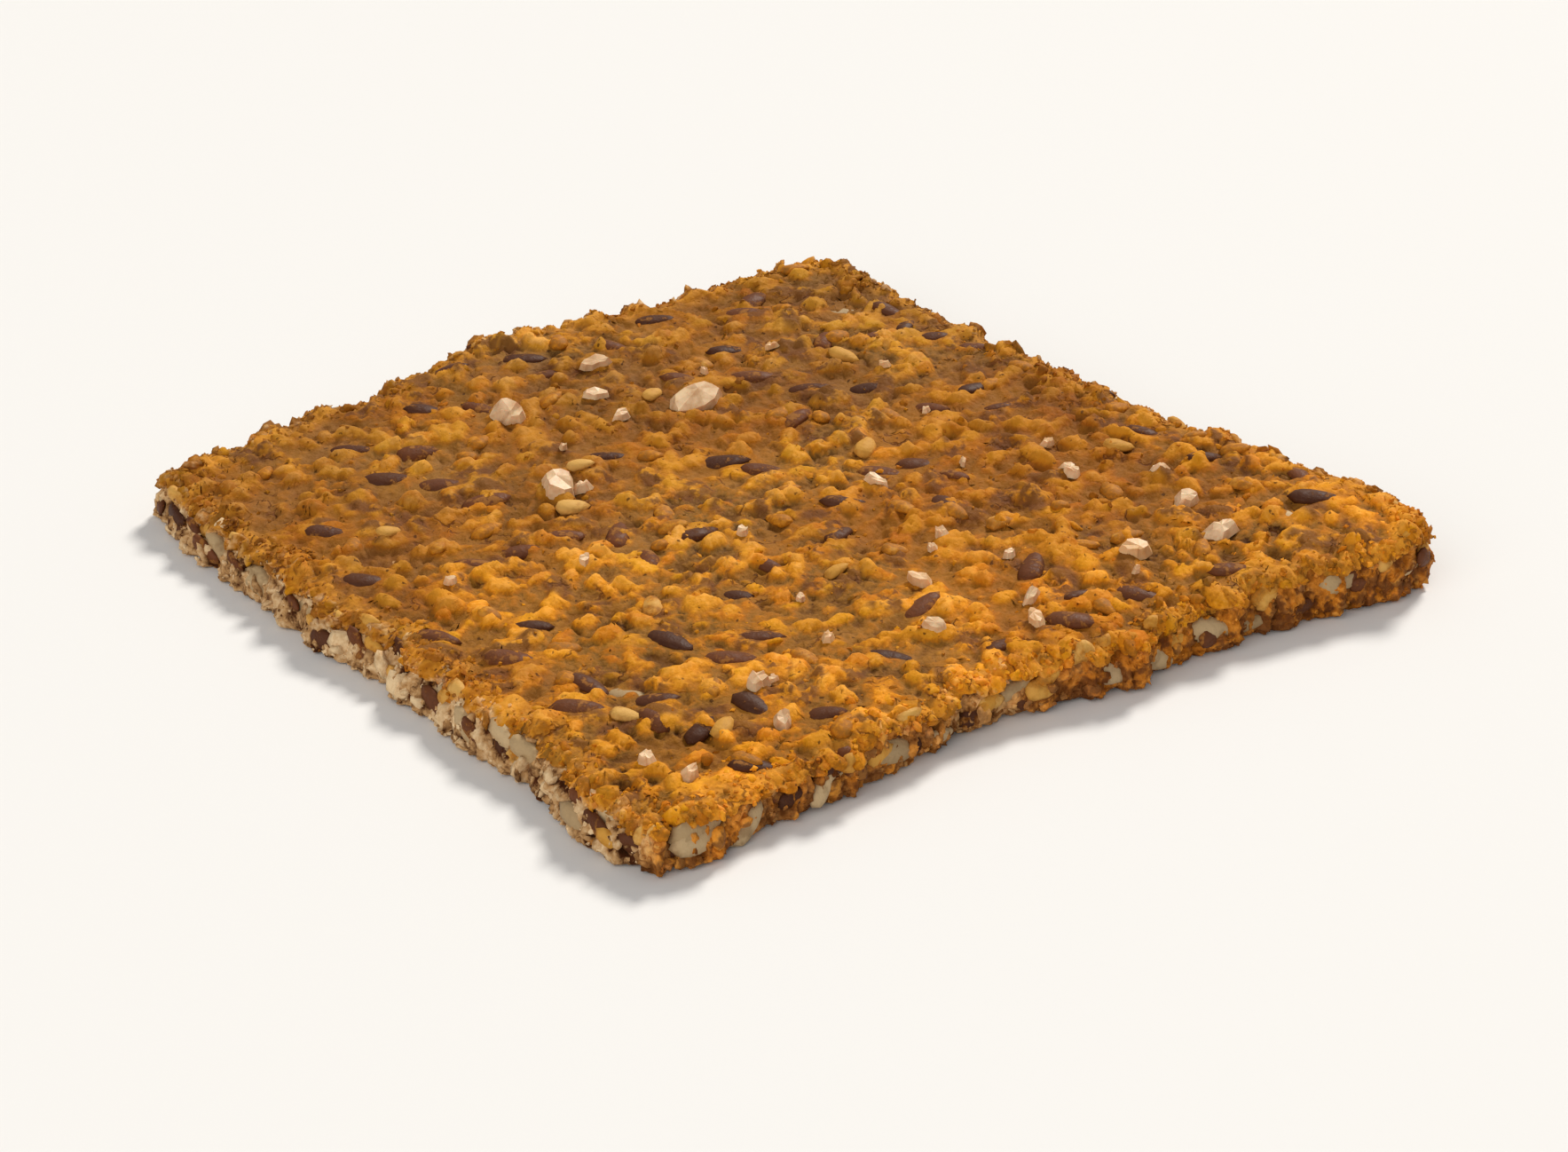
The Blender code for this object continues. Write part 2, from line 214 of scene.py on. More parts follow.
class Fields:
    # Square fields over the plan: height of the top, what colours it, and a way to read them at any point.
    def __init__(self, cell, names):
        self.cell, self.half = cell, topRelief["half"]
        self.count = int(round(2 * self.half / cell)) + 1
        line = np.linspace(-self.half, self.half, self.count)
        self.x, self.y = np.meshgrid(line, line)
        self.flat = np.stack([self.x, self.y, np.zeros_like(self.x)], axis=-1)
        self.layers = {name: np.zeros_like(self.x) for name in names}

    def stamp(self, x, y, length, width, turn, height, power, tint, kind):
        # Raises an elliptic dome, height times (1 - r^2) to the power, where it stands above what is there.
        reach = max(length, width) / 2
        low = [max(0, int((p - reach + self.half) / self.cell)) for p in (x, y)]
        high = [min(self.count, int((p + reach + self.half) / self.cell) + 2) for p in (x, y)]
        if low[0] >= high[0] or low[1] >= high[1]:
            return
        window = (slice(low[1], high[1]), slice(low[0], high[0]))
        along, across = ovalPlace(self.x[window], self.y[window], x, y, turn, length, width)
        dome = height * np.clip(1 - along**2 - across**2, 0, None) ** power
        lumps, tints = self.layers["lumps"][window], self.layers["tint"][window]
        above = dome > lumps
        lumps[above] = dome[above]
        tints[above] = tint
        self.layers[kind][window][above] = np.clip(dome / height * 1.6, 0, 1)[above]

    def read(self, name, x, y):
        # The layer's value at x, y, blended between the four cells round it.
        place = np.clip((np.stack([x, y]) + self.half) / self.cell, 0, self.count - 1.001)
        ix, iy = place.astype(int)
        fx, fy = place - (ix, iy)
        layer = self.layers[name]
        low = layer[iy, ix] * (1 - fx) + layer[iy, ix + 1] * fx
        high = layer[iy + 1, ix] * (1 - fx) + layer[iy + 1, ix + 1] * fx
        return low * (1 - fy) + high * fy


def makeFields():
    # The top is the plan's thickness with its swells, the lumps, coated seeds and grains as domes, wrinkles
    # and crumb as noises, less pits and cracks, all slightly blurred.
    settings, plan = topRelief, slabPlan
    cell = settings["cell"]
    fields = Fields(cell, ("lumps", "tint", "sesame", "flax", "grain"))
    layers, x, y = fields.layers, fields.x, fields.y
    base = plan["thickness"] + plan["thickerToRight"] * x / plan["halfWidth"]
    for swellX, swellY, reach, rise in plan["swells"]:
        base = base + rise * np.exp(-((x - swellX) ** 2 + (y - swellY) ** 2) / reach**2)

    # The round lumps that the solid has too.
    row = settings["solidLumps"]
    draw = np.random.default_rng(row["seed"])
    half = np.abs(cutOutline(40)).max(axis=0)
    places = draw.uniform(-half, half, (row["count"], 2))
    radii = draw.uniform(*row["radius"], row["count"])
    heights = draw.uniform(*row["height"], row["count"])
    for place, radius, height in zip(places, radii, heights):
        fields.stamp(*place, 2 * radius, 2 * radius, 0.0, height, 0.5, draw.uniform(-1, 1), "sesame")
    broad = layers["lumps"] - row["height"][1] / 2
    base = base + row["share"] * broad - settings["lowered"]

    # Seeds under a coat of dough stand on those.
    layers["lumps"] = np.zeros_like(x)
    for kind, key, power in (("flax", "coatedFlax", 0.8), ("sesame", "coatedSesame", 0.7)):
        row = settings[key]
        draw = np.random.default_rng(row["seed"])
        for number in range(row["count"]):
            place = draw.uniform(-half, half)
            length, width = draw.uniform(*row["length"]), draw.uniform(*row["width"])
            turn, height, tint = draw.uniform(0, math.pi), draw.uniform(*row["height"]), draw.uniform(-1, 1)
            fields.stamp(*place, length, width, turn, height, power, tint, kind)

    # Small grains of dough ride on everything.
    row = settings["grains"]
    draw = np.random.default_rng(row["seed"])
    seeded, seededTint = layers["lumps"], layers["tint"].copy()
    layers["lumps"] = np.zeros_like(x)
    for number in range(row["count"]):
        length, height = draw.uniform(*row["length"]), draw.uniform(*row["height"])
        place, turn = draw.uniform(-half, half), draw.uniform(0, math.pi)
        width = length * draw.uniform(0.5, 0.9)
        fields.stamp(*place, length, width, turn, height, 0.7, draw.uniform(-1, 1), "grain")
    relief = seeded + layers["lumps"]
    layers["tint"] = 0.75 * seededTint + 0.25 * layers["tint"]

    # Wrinkles are ridges where a stretched noise crosses its middle, cracks are grooves where another does.
    stretched = fields.flat * np.array(settings["wrinkleStretch"]) @ np.array(settings["wrinkleTurn"])
    for number, (wavelength, height) in enumerate(settings["wrinkles"]):
        noise = smoothNoise(stretched, wavelength, settings["wrinkleSeed"] + number)
        relief = relief + height * (0.7 - 2 * np.abs(noise))
    relief = relief + noiseSum(fields.flat, settings["crumb"], settings["crumbSeed"])
    cracks = settings["cracks"]
    noise = smoothNoise(fields.flat, cracks["wavelength"], cracks["seed"])
    line = np.clip(1 - np.abs(noise) / cracks["half"], 0, 1)
    patches = smoothNoise(fields.flat, cracks["patches"], cracks["seed"] + 1)
    share = np.clip((patches - cracks["patchAbove"]) / cracks["patchSpan"], 0, 1)
    relief = relief - pitDepth(fields.flat, settings["pits"]) - cracks["depth"] * line * share

    top = blurred(base + relief, settings["soften"] / cell)
    top = bedSeeds(fields, top, blurred(top, settings["bedReach"] / cell))
    layers["top"] = top
    around = blurred(top, settings["hollowReach"] / cell)
    layers["relief"] = np.clip((top - around) / settings["hollowSpan"], -1, 1)
    inner, outer = (blurred(top, reach / cell) for reach in settings["lumpReach"])
    layers["swell"] = np.clip((inner - outer) / settings["lumpSpan"], -1, 1)
    layers["smoothTop"] = blurred(top, settings["seatReach"] / cell)
    layers["slopeY"], layers["slopeX"] = np.gradient(layers["smoothTop"], cell)
    return fields


def bedSeeds(fields, top, smoothTop):
    # Under each placed flax seed the top goes over into a smooth bed, and a narrow moat runs round the seed.
    bed, moat = topRelief["bed"], topRelief["moat"]
    for x, y, turn, size, depth in flaxSeeds["placed"]:
        length, width = (size * part for part in flaxSeeds["size"][:2])
        away = np.hypot(*ovalPlace(fields.x, fields.y, x, y, math.radians(turn), length, width))
        inBed = np.clip((bed["end"] - away) / bed["fade"], 0, 1)
        inMoat = np.exp(-(((away - 1.0) / moat["width"]) ** 2))
        top = top + (bed["smoothed"] * (smoothTop - top) - bed["lowered"]) * inBed
        top = top - moat["depth"] * max(0.0, 1 - depth / moat["goneAt"]) * inMoat
    return top


underRelief = {
    "cell": 0.14,  # mm
    "lumps": {"count": 900, "length": (1.6, 4.2), "width": (1.2, 2.3), "height": (0.15, 0.6), "seed": 131},
    "crumb": ((2.4, 0.26), (1.0, 0.17), (0.5, 0.1)), "crumbSeed": 134,
    "pressed": 0.26,  # mm, the height at which lumps were pressed level
    "lift": 0.03,
    "flax": {"count": 64, "apart": 4.8, "seed": 132},  # apart in mm
    "sesame": {"count": 56, "apart": 3.7, "seed": 133},
    "seedDepth": 0.3, "seedHalf": 35, "seedClear": 3.0, "seedSize": (0.75, 1.0),
    # The hollow is in mm, the flattening in mm squared and the softening in cells.
    "seedHollow": 0.5, "flattening": 0.0025, "soften": 0.5,
}


def seedsUnder(kind):
    # Seeds that lie flat in the underside: X, Y, turn in radians and share of full size. One that would lie
    # across an earlier one is left out.
    row = underRelief[kind]
    draw = np.random.default_rng(row["seed"])
    half, count = underRelief["seedHalf"], row["count"]
    places = keptInside(draw.uniform(-half, half, (count, 2)), underRelief["seedClear"])
    turn, size = draw.uniform(0, math.pi, count), draw.uniform(*underRelief["seedSize"], count)
    others = places if kind == "flax" else np.concatenate([seedsUnder("flax")[:, :2], places])
    apart = np.linalg.norm(places[:, None] - others[None], axis=-1)
    rank = np.arange(len(places)) + len(others) - len(places)
    across = (apart < row["apart"]) & (np.arange(len(others))[None] < rank[:, None])
    return np.column_stack([places, turn, size])[~across.any(axis=1)]


def makeUnderFields():
    # Lumps and noise as on top, cut off level where they were pressed flat, hung upside down above the plane.
    settings = underRelief
    fields = Fields(settings["cell"], ("lumps", "tint", "sesame"))
    row = settings["lumps"]
    draw = np.random.default_rng(row["seed"])
    for number in range(row["count"]):
        length, width, height = (draw.uniform(*row[key]) for key in ("length", "width", "height"))
        place, turn = draw.uniform(-39, 39, 2), draw.uniform(0, math.pi)
        fields.stamp(*place, length, width, turn, height, 0.6, draw.uniform(-1, 1), "sesame")
    height = fields.layers["lumps"] + noiseSum(fields.flat, settings["crumb"], settings["crumbSeed"])
    for kind, seeds in (("flax", flaxSeeds), ("sesame", sesameSeeds)):
        for x, y, turn, size in seedsUnder(kind):
            length, width = (size * part for part in seeds["size"][:2])
            along, across = ovalPlace(fields.x, fields.y, x, y, turn, length, width)
            height = height - settings["seedHollow"] * np.exp(-((along**2 + across**2) ** 2))
    gap = settings["pressed"] - height
    gap = 0.5 * (gap + np.sqrt(gap**2 + settings["flattening"]))
    fields.layers["under"] = settings["lift"] + blurred(gap, settings["soften"])
    fields.layers["relief"] = np.clip(0.75 - gap / 0.3, -1, 1)
    return fields


# Meshes from whole arrays

def makePiece(name, points, faceSets, layers=None, smooth=True):
    # Points in mm, faces as arrays of point numbers, and named values for the points.
    mesh = bpy.data.meshes.new(name)
    corners = np.concatenate([faces.ravel() for faces in faceSets]).astype(np.int32)
    sizes = np.concatenate([np.full(len(faces), faces.shape[1]) for faces in faceSets])
    starts = np.concatenate([[0], np.cumsum(sizes)[:-1]]).astype(np.int32)
    mesh.vertices.add(len(points))
    mesh.vertices.foreach_set("co", (points * mm).astype(np.float32).ravel())
    mesh.loops.add(len(corners))
    mesh.loops.foreach_set("vertex_index", corners)
    mesh.polygons.add(len(sizes))
    mesh.polygons.foreach_set("loop_start", starts)
    mesh.polygons.foreach_set("use_smooth", np.full(len(sizes), smooth))
    mesh.update(calc_edges=True)
    for layer, values in (layers or {}).items():
        data = mesh.attributes.new(layer, "FLOAT", "POINT").data
        data.foreach_set("value", np.asarray(values, np.float32).ravel())
    piece = bpy.data.objects.new(name, mesh)
    bpy.context.scene.collection.objects.link(piece)
    return piece


def finishPiece(piece, material):
    # Gives the piece its material and its body, and hides the node it stands for.
    piece.data.materials.append(material)
    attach(piece, body)
    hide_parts(node)


def pointNormals(piece):
    # The mesh's own normals at its points, one row each.
    normals = np.empty(len(piece.data.vertices) * 3, np.float32)
    piece.data.vertex_normals.foreach_get("vector", normals)
    return normals.reshape(-1, 3)


def fanFaces(ring, centre):
    # Triangles from each pair of neighbours on a ring of point numbers to one point.
    return np.stack([ring, np.roll(ring, -1), np.full(len(ring), centre)], axis=1)


def ringFaces(index):
    # Quads between each ring and the one under it, facing outwards.
    upper, lower = index[:-1], index[1:]
    quads = np.stack([upper, lower, np.roll(lower, -1, axis=1), np.roll(upper, -1, axis=1)], axis=-1)
    return quads.reshape(-1, 4)


def repeatedForm(form, faces, places, turns, sizes, layers):
    # Each copy's points are its place + turn · (size × form). The form is one for all or one for each copy.
    # What would reach below the level is pressed together above the plane that the slab lies on.
    points = np.einsum("nij,nvj->nvi", turns, form * sizes[:, None, :]) + places[:, None, :]
    level, height = 0.4, points[..., 2]
    pressed = level * np.exp((np.minimum(height, level) - level) / level)
    points[..., 2] = np.where(height < level, pressed, height)
    count, perCopy = points.shape[:2]
    offsets = (np.arange(count) * perCopy)[:, None, None]
    faceSets = [(part[None] + offsets).reshape(-1, part.shape[1]) for part in faces]
    values = {name: np.repeat(value, perCopy) for name, value in layers.items()}
    return points.reshape(-1, 3), faceSets, values


def turnsOnto(up, yaw):
    # Rotations whose third column is the given up direction and whose first lies at the yaw angle in plan.
    up = unit(up)
    heading = np.stack([np.cos(yaw), np.sin(yaw), np.zeros_like(yaw)], axis=1)
    first = unit(heading - (heading * up).sum(axis=1)[:, None] * up)
    return np.stack([first, np.cross(up, first), up], axis=2)


def seedForm(around, along, taper, flatness):
    # A lathe form one unit long: the radius goes as the root of s(1 - s), narrowed towards one end by the
    # taper, and the ring is squeezed towards a lens by the flatness. The two ends close in single points.
    s = np.linspace(0, 1, along + 1)[1:-1]
    angle = np.linspace(0, 2 * math.pi, around, endpoint=False)
    radius = np.sqrt(s * (1 - s)) * (1 - taper * s) * (1 + 0.35 * taper)
    x = np.repeat(s - 0.5, around).reshape(len(s), around)
    y = radius[:, None] * np.cos(angle)
    z = radius[:, None] * np.sign(np.sin(angle)) * np.abs(np.sin(angle)) ** flatness
    points = np.vstack([np.stack([x, y, z], axis=-1).reshape(-1, 3), [[-0.5, 0, 0], [0.5, 0, 0]]])
    index = np.arange(len(points) - 2).reshape(-1, around)
    ends = fanFaces(index[0], index.size), fanFaces(index[-1, ::-1], index.size + 1)
    return points, [np.roll(ringFaces(index), -1, axis=1), *ends]


def lumpForm(split):
    # A cube whose faces are split into a grid and whose points are pushed out onto a ball of radius one half.
    line = np.linspace(-1, 1, split + 1)
    a, b = np.meshgrid(line, line, indexing="ij")
    one = np.ones_like(a)
    sheets = [(one, a, b), (-one, b, a), (b, one, a), (a, -one, b), (a, b, one), (b, a, -one)]
    points = np.concatenate([np.stack(sheet, axis=-1).reshape(-1, 3) for sheet in sheets])
    i, j = (p.ravel() for p in np.meshgrid(np.arange(split), np.arange(split), indexing="ij"))
    wide = split + 1
    quad = np.stack([i * wide + j, (i + 1) * wide + j, (i + 1) * wide + j + 1, i * wide + j + 1], axis=1)
    faces = np.concatenate([quad + number * wide * wide for number in range(6)])
    places, merged = np.unique(np.round(points, 6), axis=0, return_inverse=True)
    return unit(places) / 2, [merged.reshape(-1)[faces]]


# The slab itself: a crust sheet over a crumb core

crustSheet = {
    "perSide": 292,  # faces along each side of the top sheet
    "rows": 9,
    # The rim from the top sheet's border down and back under it: inset in mm and share of the height there.
    "inset": (0.95, 0.6, 0.28, 0.02, -0.16, -0.08, 0.35, 0.9, 2.0),
    "share": (1.0, 0.985, 0.95, 0.89, 0.82, 0.77, 0.74, 0.72, 0.66),
    "ragged": ((2.4, 0.5), (1.3, 0.46), (0.65, 0.26)),  # wavelength and depth in mm
    "rimCrumble": ((1.5, 0.34), (0.7, 0.26)), "crumbleSeed": 78,
    "rimReach": 2.2, "across": 77,  # mm
    "sag": 0.24, "sagWave": 0.9, "sagSeed": 77,
    "patchWave": 7.0, "patchSeed": 76,
    "seed": 70,
    "middle": 1.6,  # mm, height of the hidden closing point
}

crumbCore = {
    "perSide": 420,  # points along each side
    "rows": 40,
    "inset": (1.6, 0.95, 0.6, 0.34, 0.14, 0.0, 0.0, 0.12, 0.34, 0.8, 1.3, 2.4),
    "share": (0.74, 0.84, 0.86, 0.82, 0.68, 0.52, 0.36, 0.2, 0.07, 0.015, 0.12, 0.3),
    "ragged": ((2.6, 0.36), (1.2, 0.28), (0.55, 0.17), (0.3, 0.09)),
    "layering": {"depth": 0.3, "along": 3.4, "up": 0.8, "seed": 90},  # torn layers, in mm
    "pits": {"wavelength": 1.5, "above": 0.28, "depth": 1.5, "seed": 91},
    "sag": 0.2, "sagWave": 0.9, "sagSeed": 92,
    "lowest": 0.05,
    "hiddenRows": 0.2,  # share of the rows that lie under the crust
    "seed": 80,
    "middle": 2.4, "lowMiddle": 1.7,  # mm, heights of the two hidden closing points
}

underside = {
    "perSide": 280,
    # Rings from inside the crumb down to the sheet's border, in mm.
    "inset": (2.2, 1.0, 0.62, 0.66, 0.95), "height": (1.8, 1.1, 0.6, 0.3, 0.0),
    "ragged": ((2.0, 0.2), (0.8, 0.12)), "seed": 120,
    "sag": 0.1, "sagWave": 0.9, "sagSeed": 122,
    "middle": 1.5,
}


def raggedness(points, settings):
    # How far a cut stands out at points on it: a sum of noises, the finer ones folded into sharp notches.
    depth = 0.0
    for number, (wavelength, height) in enumerate(settings["ragged"]):
        noise = smoothNoise(points, wavelength, settings["seed"] + number)
        depth = depth + height * (noise if number == 0 else 0.55 - 2 * np.abs(noise))
    return depth


def tornDepth(points):
    # The crumb's raggedness, with torn layers that run along the cut, and pits.
    layering = crumbCore["layering"]
    squeezed = points * np.array((1, 1, layering["along"] / layering["up"]))
    torn = layering["depth"] * smoothNoise(squeezed, layering["along"], layering["seed"])
    return raggedness(points, crumbCore) + torn - pitDepth(points, crumbCore["pits"])


def sagging(points, shape):
    # How far a rim's points stray up and down.
    return shape["sag"] * smoothNoise(points, shape["sagWave"], shape["sagSeed"])


def cutRings(settings, fields):
    # Rings round the slab from the profile's inset and share, before any tearing: points, outward and share.
    rim, outward, slope = edgeRound(settings["perSide"])
    edge = rim - outward * (crustSheet["inset"][0] + 0.5 * slope)[:, None]
    edgeHeight = fields.read("top", *edge.T)
    rowShare = np.linspace(0, 1, settings["rows"] + 1)
    knots = np.linspace(0, 1, len(settings["inset"]))
    inset, share = (np.interp(rowShare, knots, settings[key]) for key in ("inset", "share"))
    inwards = inset[:, None] + (share[:, None] - 0.5) * slope
    plain = rim[None] - outward[None] * inwards[..., None]
    rings = np.concatenate([plain, (share[:, None] * edgeHeight[None])[..., None]], axis=-1)
    return rings, outward, share


def gridFaces(n, upwards):
    # Quads of an n by n sheet whose points are numbered row by row, facing up or down.
    i, j = (p.ravel() for p in np.meshgrid(np.arange(n), np.arange(n), indexing="ij"))
    corner = j * (n + 1) + i
    quads = np.stack([corner, corner + 1, corner + n + 2, corner + n + 1], axis=1)
    return quads if upwards else quads[:, ::-1].copy()


def gridBorder(n):
    # The numbers of a sheet's border points, anticlockwise from its first corner.
    k = np.arange(n)
    return np.concatenate([k, k * (n + 1) + n, n * (n + 1) + n - k, (n - k) * (n + 1)])


def sheetOver(loop, n):
    # A Coons patch over a closed loop with n points to a side: the two blends between facing sides, less the
    # blend between the four corners. Gives u, v, X and Y.
    v, u = np.meshgrid(np.linspace(0, 1, n + 1), np.linspace(0, 1, n + 1), indexing="ij")
    closed = np.vstack([loop, loop[:1]])
    steps = np.linspace(0, 1, n + 1)

    def side(number, share):
        part = closed[number * n : (number + 1) * n + 1]
        return np.stack([np.interp(share, steps, part[:, 0]), np.interp(share, steps, part[:, 1])], axis=-1)

    near, right, far, left = loop[0], loop[n], loop[2 * n], loop[3 * n]
    u1, v1 = u[..., None], v[..., None]
    betweenV = (1 - v1) * side(0, u) + v1 * side(2, 1 - u)
    betweenU = (1 - u1) * side(3, 1 - v) + u1 * side(1, v)
    flat = (1 - u1) * ((1 - v1) * near + v1 * left) + u1 * ((1 - v1) * right + v1 * far)
    plan = betweenV + betweenU - flat
    return u, v, plan[..., 0], plan[..., 1]


def makeCrustSheet(fields):
    # The browned top as a sheet with a ragged rim that turns under, closed by a fan inside the crumb.
    shape = crustSheet
    n = shape["perSide"]
    rings, outward, share = cutRings(shape, fields)
    u, v, x, y = sheetOver(rings[0, :, :2], n)
    top = np.stack([x, y, fields.read("top", x, y)], axis=-1).reshape(-1, 3)
    # One at the rim, falling off inwards.
    away = np.minimum(np.minimum(u, 1 - u), np.minimum(v, 1 - v)) * shape["across"]
    rimNearness = np.exp(-away / shape["rimReach"]).ravel()
    crumble = noiseSum(top, shape["rimCrumble"], shape["crumbleSeed"])
    patches = smoothNoise(top, shape["patchWave"], shape["patchSeed"])
    nearRim = rimNearness * np.clip(0.45 + 1.1 * patches, 0, 1)
    top[:, 2] += crumble * nearRim
    rings, share = rings[1:], share[1:]
    depth = raggedness(rings, shape)
    hold = np.clip((1 - share) / 0.06, 0, 1)[:, None]
    rings[..., :2] += outward[None] * (depth * hold)[..., None]
    rings[..., 2] += sagging(rings, shape) * hold

    start, onRim = len(top), depth.size
    index = np.vstack([gridBorder(n), start + np.arange(onRim).reshape(-1, 4 * n)])
    points = np.concatenate([top, rings.reshape(-1, 3), [[0, 0, shape["middle"]]]])
    cut = np.clip((1 - share) / 0.45, 0, 0.55)
    relief = np.clip(fields.read("relief", x, y).ravel() + crumble * nearRim / 0.4, -1, 1)
    layers = {
        "relief": np.concatenate([relief, np.clip(depth / 0.5, -1, 1).ravel(), [0]]),
        "cut": np.concatenate([np.zeros(start), np.repeat(cut, 4 * n), [0]]),
        "rim": np.concatenate([rimNearness, np.ones(onRim), [0]]),
    }
    for name in ("tint", "flax", "swell"):
        layers[name] = np.concatenate([fields.read(name, x, y).ravel(), np.zeros(onRim + 1)])
    faces = [gridFaces(n, True), ringFaces(index), fanFaces(index[-1, ::-1], start + onRim)]
    piece = makePiece("crustSheet", points, faces, layers)
    return piece, {
        "points": points, "normals": pointNormals(piece), "top": np.arange(start), "topRim": nearRim,
        "rim": start + np.arange(onRim)[np.repeat(share > 0.78, 4 * n)],
    }


def makeCrumbCore(fields):
    # The torn cut face, closed by a fan under the crust and one above the underside.
    shape = crumbCore
    n = shape["perSide"]
    rings, outward, share = cutRings(shape, fields)
    depth = tornDepth(rings)
    rings[..., :2] += outward[None] * depth[..., None]
    sag = sagging(rings, shape) * np.clip(share / 0.1, 0, 1)[:, None]
    rings[..., 2] = np.maximum(rings[..., 2] + sag, shape["lowest"])

    index = np.arange(depth.size).reshape(-1, 4 * n)
    onCut = index.size
    points = np.concatenate([rings.reshape(-1, 3), [[0, 0, shape["middle"]], [0, 0, shape["lowMiddle"]]]])
    layers = {"relief": np.append(np.clip(depth / 0.55, -1, 1).ravel(), (0, 0)), "cut": np.ones(onCut + 2)}
    faces = [ringFaces(index), fanFaces(index[0], onCut), fanFaces(index[-1, ::-1], onCut + 1)]
    piece = makePiece("crumbCore", points, faces, layers)
    return piece, {
        "points": points, "normals": pointNormals(piece), "cut": np.arange(onCut),
        "cutShare": np.repeat(share, 4 * n), "outward": np.tile(outward, (len(share), 1)),
        "shown": np.repeat(np.arange(len(share)) >= len(share) * shape["hiddenRows"], 4 * n),
    }


def makeUnderside(fields):
    # The pressed underside as a sheet that turns up into the crumb at its rim, closed by a fan inside.
    shape = underside
    n = shape["perSide"]
    rim, outward, slope = edgeRound(n)
    inset, height = (np.array(shape[key])[:, None] for key in ("inset", "height"))
    inwards = inset + (height / slabPlan["thickness"] - 0.5) * slope
    plain = rim[None] - outward[None] * inwards[..., None]
    rings = np.concatenate([plain, (height * np.ones(4 * n))[..., None]], axis=-1)
    rings[..., :2] += outward[None] * raggedness(rings, shape)[..., None]
    u, v, x, y = sheetOver(rings[-1, :, :2], n)
    sheet = np.stack([x, y, fields.read("under", x, y)], axis=-1).reshape(-1, 3)
    rings = rings[:-1]
    rings[..., 2] += sagging(rings, shape)
    start, onRim = len(sheet), rings.shape[0] * 4 * n
    index = np.vstack([start + np.arange(onRim).reshape(-1, 4 * n), gridBorder(n)])
    points = np.concatenate([sheet, rings.reshape(-1, 3), [[0, 0, shape["middle"]]]])
    cut = np.concatenate([np.zeros(start), np.full(onRim + 1, 0.4)])
    layers = {"cut": cut, "under": np.ones(len(points))}
    for name in ("relief", "tint"):
        layers[name] = np.concatenate([fields.read(name, x, y).ravel(), np.zeros(onRim + 1)])
    faces = [gridFaces(n, False), ringFaces(index), fanFaces(index[0], start + onRim)]
    return makePiece("undersideCrust", points, faces, layers)


# Seeds and salt

flaxSeeds = {
    # X and Y in mm, turn of the long axis in degrees, share of full size and how deep it sits, 0 to 1.
    "placed": (
        (-1.1, 34.3, -35, 1.0, 0.4), (-13.4, 30.9, -40, 0.9, 0.5), (-22.3, 28.9, -45, 0.9, 0.5),
        (-22.9, 22.6, -40, 1.05, 0.35), (-19.8, 18.9, -38, 1.0, 0.35), (-32.0, 16.9, -40, 0.9, 0.5),
        (13.5, 34.5, -30, 0.9, 0.4), (7.7, 22.4, -50, 0.9, 0.5), (14.7, 25.0, -20, 0.9, 0.4),
        (20.7, 30.6, -35, 0.9, 0.5), (13.0, 19.2, -35, 1.05, 0.3), (15.4, 14.2, -40, 0.95, 0.4),
        (1.0, 7.7, -38, 1.1, 0.3), (3.0, 4.4, -40, 1.0, 0.35), (-14.2, -2.9, 60, 0.8, 0.3),
        (-25.6, 5.2, -45, 0.9, 0.5), (-34.0, 8.2, -40, 0.9, 0.4), (-6.2, 14.5, -40, 0.9, 0.5),
        (21.4, 4.7, -60, 0.8, 0.3), (26.0, 1.0, -20, 0.75, 0.4), (31.9, -11.0, -50, 0.8, 0.5),
        (31.0, 15.4, -30, 0.8, 0.4), (33.0, 12.0, -30, 0.8, 0.4), (19.9, 11.4, -30, 0.9, 0.45),
        (33.2, -29.8, -40, 1.0, 0.2), (8.5, -23.1, 38, 1.0, 0.12), (19.8, -35.6, -25, 0.95, 0.3),
        (7.8, -29.2, 0, 0.62, 0.35), (-2.8, -23.1, 10, 1.0, 0.45), (5.1, -32.2, -42, 1.08, 0.1),
        (13.8, -2.7, -40, 0.9, 0.5), (10.6, -1.9, -42, 1.0, 0.5), (4.2, -4.7, -40, 0.9, 0.5),
        (38.0, -24.8, 80, 0.8, 0.3), (-32.1, -9.8, -45, 1.0, 0.3), (-21.0, -15.2, -75, 1.05, 0.25),
        (-19.2, -20.2, -42, 1.05, 0.25), (-15.3, -18.7, -38, 0.95, 0.4), (-27.9, -6.5, -40, 0.8, 0.5),
        (-32.7, -19.6, -40, 1.0, 0.35), (-22.1, -27.0, -80, 0.95, 0.35), (-27.1, -21.6, -35, 0.85, 0.45),
        (-35.2, -3.4, -60, 0.9, 0.3), (-27.4, -36.4, -30, 0.85, 0.3), (-18.7, -31.2, -40, 0.8, 0.3),
        (-8.0, 37.0, -20, 0.75, 0.4), (-12.0, -12.0, -45, 0.8, 0.6), (-9.5, -27.5, -42, 0.9, 0.5),
    ),
    "scattered": 26, "apart": 3.4,
    "inCuts": {"count": 110, "sink": 0.42, "between": (0.2, 0.8), "size": (0.6, 0.92)},
    "size": (4.6, 2.3, 1.15),  # length, width and thickness in mm
    "looseSize": (0.7, 1.0), "looseDepth": (0.1, 0.45), "clear": 2.1, "lean": 0.12, "sink": (0.02, 0.46),
    "form": (8, 7, 0.38, 1.2), "bend": 0.07, "wobble": 0.03,
    "seed": 101,
}

